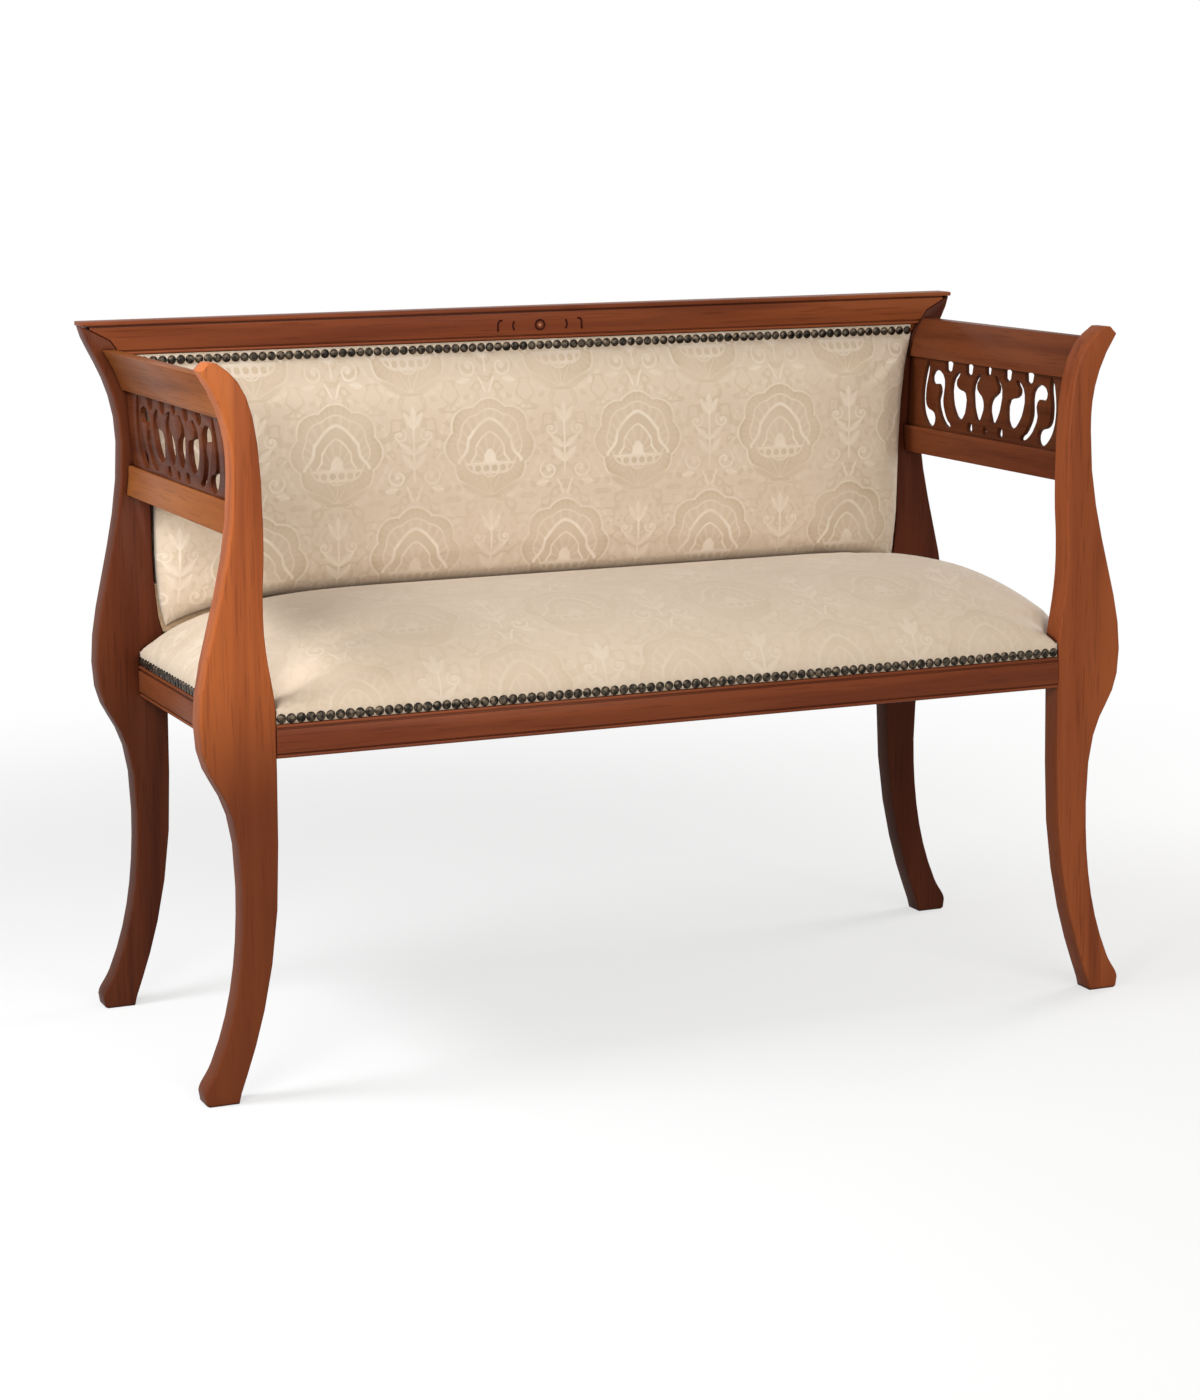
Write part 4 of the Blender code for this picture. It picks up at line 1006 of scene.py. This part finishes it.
def free_under_nails(point):
    """The cloth of the back is tight along its top row of nails and free below it."""
    return ease(back_high.z - point.z, FLANGE, FLANGE + 0.025)


back_mesh = sheet_mesh("back cloth", shape, flat, (0, -1, 0))
swell(back_mesh, held_points, 2.0, 0.0025, free_under_nails)
back_cover = cloth_piece("back_cover_damask", back_mesh, CLOTH, damask, "back_cover")
print("back cover faces:", len(back_cover.data.polygons))

# %% Back foam
foam_back_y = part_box("back_foam")[1].y
foam_mesh = closed_block("back foam", back_sheet(56, 24, FOAM_INSET)[0], foam_back_y, 1)
back_foam = finished_mesh("back_foam_block", foam_mesh, foam, "back_foam")
print("back foam faces:", len(back_foam.data.polygons))

# %% [markdown]
# ## Flat cloths
# The back of the settee and the underside of the seat are closed with single stretched cloths. Each
# one is a fine grid cut to the outline of its solid, and the one at the back is drawn in a little
# between the places where it is fixed.

# %% Outer back and dust cover
SLACK = 0.0008
THIN_CLOTH = 0.0008
DUST_LAP = 0.008
dust_low, dust_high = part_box("seat_dust_cover")


def stretched_cloth(name, mesh, material, node, size):
    """A flat cloth with its thickness, and what a sewer has to know of it."""
    piece = cloth_piece(name, mesh, THIN_CLOTH, material, node)
    print(name, round(size[0], 3), "by", round(size[1], 3), "m")


def back_lining():
    """Cloth over the back of the frame, from the crest rail down to the rear seat rail."""
    lines = []
    for z, half in widths_up(outer_low.z, 30):
        v = (z - outer_low.z) / (outer_high.z - outer_low.z)
        line = []
        for u in [-1 + n / 30 for n in range(61)]:
            hollow = SLACK * (1 - u**6) * (1 - (2 * v - 1) ** 6)
            line.append(((u * half, outer_high.y - hollow, z), (u * half + MOTIF_ACROSS, z - MOTIF_UP)))
        lines.append(line)
    shape, flat, _ = grid_sheet(lines)
    return sheet_mesh("outer back cloth", shape, flat, (0, 1, 0))


def dust_sheet():
    """Black cloth under the seat, cut round the four legs."""
    inner_x, inner_y = LEG_LINE - DUST_LAP, REAR_LEG_FRONT - DUST_LAP
    xs = with_lines_at([dust_high.x * t for t in eased_steps(48, 0.2)], inner_x, -inner_x)
    ys = with_lines_at([dust_high.y * t for t in eased_steps(24, 0.2)], inner_y, -inner_y)
    lines = [[((x, y, dust_low.z), (x, y)) for x in xs] for y in ys]
    shape, flat, _ = grid_sheet(lines, lambda middle: abs(middle.x) < inner_x or abs(middle.y) < inner_y)
    return sheet_mesh("dust cloth", shape, flat, (0, 0, -1))


stretched_cloth("back_outer_cover_damask", back_lining(), damask, "back_outer_cover",
                (2 * outer_high.x, outer_high.z - outer_low.z))
stretched_cloth("seat_dust_cover_cloth", dust_sheet(), black_cloth, "seat_dust_cover",
                (2 * dust_high.x, 2 * dust_high.y))

# %% [markdown]
# ## Rows of nails
# Each nailed edge carries a close row of domed heads, set by hand, so no two sit quite alike. A
# Geometry Nodes tree places them: it walks along a path at an even pitch, puts a flattened dome at
# each step facing outwards, and turns and sizes each one slightly at random from a fixed seed.

# %% Tree for a row of nails
HEAD = 0.0116
HEAD_DEPTH = 0.0042
HEAD_LEAN = 0.10


def nail_tree(material):
    tree = bpy.data.node_groups.new("row of nails", "GeometryNodeTree")
    face = tree.interface
    face.new_socket(name="Path", in_out="INPUT", socket_type="NodeSocketGeometry")
    identifiers = {}
    for name, kind, value in (
        ("Pitch", "NodeSocketFloat", NAIL_PITCH),
        ("Head width", "NodeSocketFloat", HEAD),
        ("Head depth", "NodeSocketFloat", HEAD_DEPTH),
        ("Facing", "NodeSocketVector", (0.0, -1.0, 0.0)),
        ("Seed", "NodeSocketInt", 3),
    ):
        socket = face.new_socket(name=name, in_out="INPUT", socket_type=kind)
        socket.default_value = value
        identifiers[name] = socket.identifier
    face.new_socket(name="Nails", in_out="OUTPUT", socket_type="NodeSocketGeometry")
    given = add_node(tree, "NodeGroupInput").outputs
    width, seed = given["Head width"], given["Seed"]

    def step(kind, inputs, **settings):
        return add_node(tree, kind, inputs, **settings).outputs[0]

    curve = step("GeometryNodeMeshToCurve", {0: given["Path"]})
    points = step("GeometryNodeResampleCurve", {"Curve": curve, "Length": given["Pitch"]}, mode="LENGTH")
    dome = step("GeometryNodeMeshUVSphere", {"Segments": 14, "Rings": 8, "Radius": 0.5})
    size = step("ShaderNodeCombineXYZ", {"X": width, "Y": width, "Z": given["Head depth"]})
    head = step("GeometryNodeTransform", {"Geometry": dome, "Scale": size})
    lean = step("FunctionNodeRandomValue", {"Min": [-HEAD_LEAN] * 3, "Max": [HEAD_LEAN] * 3, "Seed": seed},
                data_type="FLOAT_VECTOR")
    towards = step("ShaderNodeVectorMath", {0: given["Facing"], 1: lean}, operation="ADD")
    turn = step("FunctionNodeAlignRotationToVector", {"Vector": towards}, axis="Z")
    grow = add_node(tree, "FunctionNodeRandomValue", {"Seed": seed}, data_type="FLOAT")
    low, high = [s for s in grow.inputs if s.type == "VALUE"][:2]
    low.default_value, high.default_value = 0.97, 1.03
    grown = [s for s in grow.outputs if s.type == "VALUE"][0]
    heads = step("GeometryNodeInstanceOnPoints", {"Points": points, "Instance": head, "Rotation": turn,
                                                  "Scale": grown})
    real = step("GeometryNodeRealizeInstances", {0: heads})
    smooth = step("GeometryNodeSetShadeSmooth", {"Geometry": real})
    metal = step("GeometryNodeSetMaterial", {"Geometry": smooth, "Material": material})
    add_node(tree, "NodeGroupOutput", {0: metal})
    return tree, identifiers


nails, nail_inputs = nail_tree(bronze)
print("nail tree inputs:", list(nail_inputs))


# %% Nail rows
def nail_row(place, start, end, facing, seed):
    """A row of nails from start to end, as a plain mesh."""
    name = "nails_" + place
    path = bpy.data.meshes.new(name + " path")
    path.from_pydata([start, end], [(0, 1)], [])
    holder = put_in_scene(name + " path", path)
    row = holder.modifiers.new("nails", "NODES")
    row.node_group = nails
    row[nail_inputs["Facing"]] = facing
    row[nail_inputs["Seed"]] = seed
    mesh = applied(holder)
    print(name, "faces:", len(mesh.polygons))
    return finished_mesh(name, mesh, bronze, "nail_strip_" + place)


END_NAIL = HEAD / 2 + 0.001
NAIL_SEAT = 0.0004
front_z = sum(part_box("nail_strip_seat_front")[n].z for n in (0, 1)) / 2
front_y = FRONT_EDGE - NAIL_SEAT
front_x = LEG_LINE - END_NAIL
nail_row("seat_front", (-front_x, front_y, front_z), (front_x, front_y, front_z), (0.0, -1.0, 0.0), 3)
side_x = SIDE_EDGE + NAIL_SEAT
side_y = REAR_LEG_FRONT - END_NAIL
for side_name, side in (("left", -1), ("right", 1)):
    nail_row("seat_" + side_name, (side * side_x, -side_y, front_z), (side * side_x, side_y, front_z),
             (float(side), 0.0, 0.0), 7 + side)
top_low, top_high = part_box("nail_strip_back_top")
top_y, top_z = BACK_FACE - NAIL_SEAT, (top_low.z + top_high.z) / 2
top_x = back_half_width(top_z - HEAD / 2) - END_NAIL
nail_row("back_top", (-top_x, top_y, top_z), (top_x, top_y, top_z), (0.0, -1.0, 0.0), 11)

# %% [markdown]
# ## Ornament of the crest rail
# In the middle of the crest rail a small dark ring with a pale centre lies between two pairs of
# upright marks, all in thin inlay. Each mark is a short bent strip, so a curve with a round section
# draws it well. It stands about a millimetre out of the wood.

# %% Inlay
INLAY_Z = (crest_high.z + crest_low.z + 0.030) / 2
INLAY_Y = crest_low.y + 0.0005
RING_RADIUS = 0.0062
DOT_RADIUS = 0.0010
DOT_WIDTH = 0.0026
INLAY_WIDTH = 0.0032
ARC_PLACE, ARC_RADIUS, ARC_HALF = 0.0378, 0.0105, math.radians(33)
HOOK = ((0.0530, 0.0070), (0.0565, 0.0068), (0.0585, 0.0036), (0.0589, -0.0070))


def make_inlay_wood(name, dark, pale):
    material, tree, shader = new_material(name, pale, 0.60, {"Specular IOR Level": 0.03})
    grain = noise(tree, (0.3, 1.0, 1.0), 300.0, 3.0)
    finish_shader(tree, shader, colour_between(tree, grain, dark, pale), grain, 0.0001)
    return material


inlay_wood = make_inlay_wood("dark inlay", (0.024, 0.005, 0.003), (0.055, 0.012, 0.007))
pale_inlay = make_inlay_wood("pale inlay", (0.30, 0.13, 0.07), (0.46, 0.23, 0.14))


def inlay(name, lines, width, material):
    """Thin strips along lines drawn in the face of the crest rail, as one piece."""
    drawing = bpy.data.curves.new(name, "CURVE")
    drawing.dimensions = "3D"
    drawing.bevel_depth = width / 2
    drawing.bevel_resolution = 2
    drawing.use_fill_caps = True
    for points, closed in lines:
        line = drawing.splines.new("POLY")
        line.points.add(len(points) - 1)
        for point, (x, z) in zip(line.points, points):
            point.co = (x, INLAY_Y, INLAY_Z + z, 1.0)
        line.use_cyclic_u = closed
    mesh = applied(put_in_scene(name + " drawing", drawing))
    shape = bmesh.new()
    shape.from_mesh(mesh)
    bmesh.ops.remove_doubles(shape, verts=shape.verts, dist=1e-6)
    bmesh.ops.recalc_face_normals(shape, faces=shape.faces)
    shape.to_mesh(mesh)
    shape.free()
    mesh.shade_smooth()
    return finished_mesh(name, mesh, material)


def circle(radius, count):
    turns = [math.tau * n / count for n in range(count)]
    return [(radius * math.cos(t), radius * math.sin(t)) for t in turns]


def arc(side, count=10):
    """Points of an upright arc that bulges to one side."""
    turns = [-ARC_HALF + 2 * ARC_HALF * n / count for n in range(count + 1)]
    return [(side * (ARC_PLACE + ARC_RADIUS * (math.cos(t) - 1)), ARC_RADIUS * math.sin(t)) for t in turns]


lines = [(circle(RING_RADIUS, 32), True)]
for side in (-1, 1):
    lines.append((arc(side), False))
    lines.append(([(side * x, z) for x, z in HOOK], False))
crest_inlay = inlay("crest_inlay", lines, INLAY_WIDTH, inlay_wood)
centre_inlay = inlay("crest_inlay_centre", [(circle(DOT_RADIUS, 16), True)], DOT_WIDTH, pale_inlay)
print("inlay faces:", len(crest_inlay.data.polygons), len(centre_inlay.data.polygons))

# %% [markdown]
# ## Floor, light and camera
# The settee stands on a plain pale floor that fades to white. A large soft light stands in front, a
# window is on the left, and weaker lights open the shadows of the left leg, the left arm and the
# right side. The camera stands to the left, a little above the back, at the angle of the photograph.

# %% Floor
FLOOR_REACH = 12.0
FLOOR_SEEN = (0.86, 0.86, 0.86)
FLOOR_AS_LIGHT = (0.42, 0.41, 0.40)
FADE_START, FADE_END = 0.9, 2.4


def seen_share(tree):
    """1 where the floor or the background is looked at, and 0 where only its light counts."""
    path = add_node(tree, "ShaderNodeLightPath").outputs
    camera_ray, glossy_ray, through_ray = [
        Field(tree, path[name]) for name in ("Is Camera Ray", "Is Glossy Ray", "Is Transmission Ray")]
    return camera_ray.most(glossy_ray).most(through_ray)


def mix_to_surface(tree, share, first, second, output):
    mix = add_node(tree, "ShaderNodeMixShader", {"Fac": share, 1: first.outputs[0], 2: second.outputs[0]})
    feed(tree, tree.nodes[output].inputs["Surface"], mix.outputs[0])


def make_floor():
    material, tree, shader = new_material("pale floor", FLOOR_SEEN, 0.9)
    x, y, _ = parts_of(tree, add_node(tree, "ShaderNodeTexCoord").outputs["Object"])
    far = step_between(length_of(x, y), FADE_START, FADE_END)
    seen = seen_share(tree)
    feed(tree, shader.inputs["Base Color"], colour_between(tree, seen, FLOOR_AS_LIGHT, FLOOR_SEEN))
    glow = add_node(tree, "ShaderNodeEmission", {"Color": (1, 1, 1, 1), "Strength": 1.0})
    mix_to_surface(tree, (far * 0.42 + 0.58) * seen, shader, glow, "Material Output")
    return material


floor_mesh = bpy.data.meshes.new("floor")
corners = [(x * FLOOR_REACH, y * FLOOR_REACH, 0) for x, y in ((-1, -1), (1, -1), (1, 1), (-1, 1))]
floor_mesh.from_pydata(corners, [], [(0, 1, 2, 3)])
floor_mesh.materials.append(make_floor())
put_in_scene("floor", floor_mesh)
print("floor ready")


# %% World and lamps
def make_world():
    world = bpy.data.worlds.new("studio")
    bpy.context.scene.world = world
    world.use_nodes = True
    tree = world.node_tree
    soft = tree.nodes["Background"]
    soft.inputs["Color"].default_value = (1.0, 0.98, 0.95, 1.0)
    soft.inputs["Strength"].default_value = 0.26
    white = add_node(tree, "ShaderNodeBackground", {"Color": (1, 1, 1, 1), "Strength": 1.0})
    mix_to_surface(tree, seen_share(tree), soft, white, "World Output")


def lamp(name, place, target, size, power, colour):
    light = bpy.data.lights.new(name, "AREA")
    light.shape = "DISK"
    light.size = size
    light.energy = power
    light.color = colour
    turn = (Vector(target) - Vector(place)).to_track_quat("-Z", "Y")
    put_in_scene(name, light).matrix_world = Matrix.Translation(place) @ turn.to_matrix().to_4x4()


make_world()
lamp("large light at the front", (0.4, -4.2, 1.9), (0, 0, 0.5), 3.4, 106, (1.0, 0.985, 0.96))
lamp("window on the left", (-2.1, -0.05, 2.6), (0, 0, 0.5), 1.0, 36, (0.97, 1.0, 1.03))
lamp("fill at the left leg", (-1.3, -1.3, 1.1), (-0.5, 0, 0.5), 0.7, 13, (1.0, 0.98, 0.95))
lamp("low light at the left arm", (-1.2, -0.1, 1.2), (-0.5, 0, 0.6), 0.5, 5.5, (0.98, 1.0, 1.02))
lamp("fill on the right", (2.3, 0.6, 1.0), (0.6, 0, 0.5), 1.0, 20, (1.0, 0.985, 0.96))
bpy.context.scene.view_settings.view_transform = "Standard"
print("lamps ready")

# %% Camera
FRAME_HEIGHT_PX = 1400
FOCAL_PX = 3219.0
SENSOR = 36.0
YAW, PITCH, ROLL = math.radians(23.19), math.radians(10.56), math.radians(-0.50)
CAMERA_PLACE = Vector((-1.588, -3.440 + FRONT, 1.1346))

forward = Vector((math.sin(YAW) * math.cos(PITCH), math.cos(YAW) * math.cos(PITCH), -math.sin(PITCH)))
right = Vector((math.cos(YAW), -math.sin(YAW), 0.0))
up = right.cross(forward)
tilted_right = right * math.cos(ROLL) + up * math.sin(ROLL)
tilted_up = up * math.cos(ROLL) - right * math.sin(ROLL)
turned = Matrix((tilted_right, tilted_up, -forward)).transposed().to_4x4()
camera_data = bpy.data.cameras.new("camera")
camera_data.sensor_width = SENSOR
camera_data.lens = FOCAL_PX / FRAME_HEIGHT_PX * SENSOR
camera = put_in_scene("camera", camera_data)
camera.matrix_world = Matrix.Translation(CAMERA_PLACE) @ turned
bpy.context.scene.camera = camera
print("lens:", round(camera_data.lens, 2), "mm")
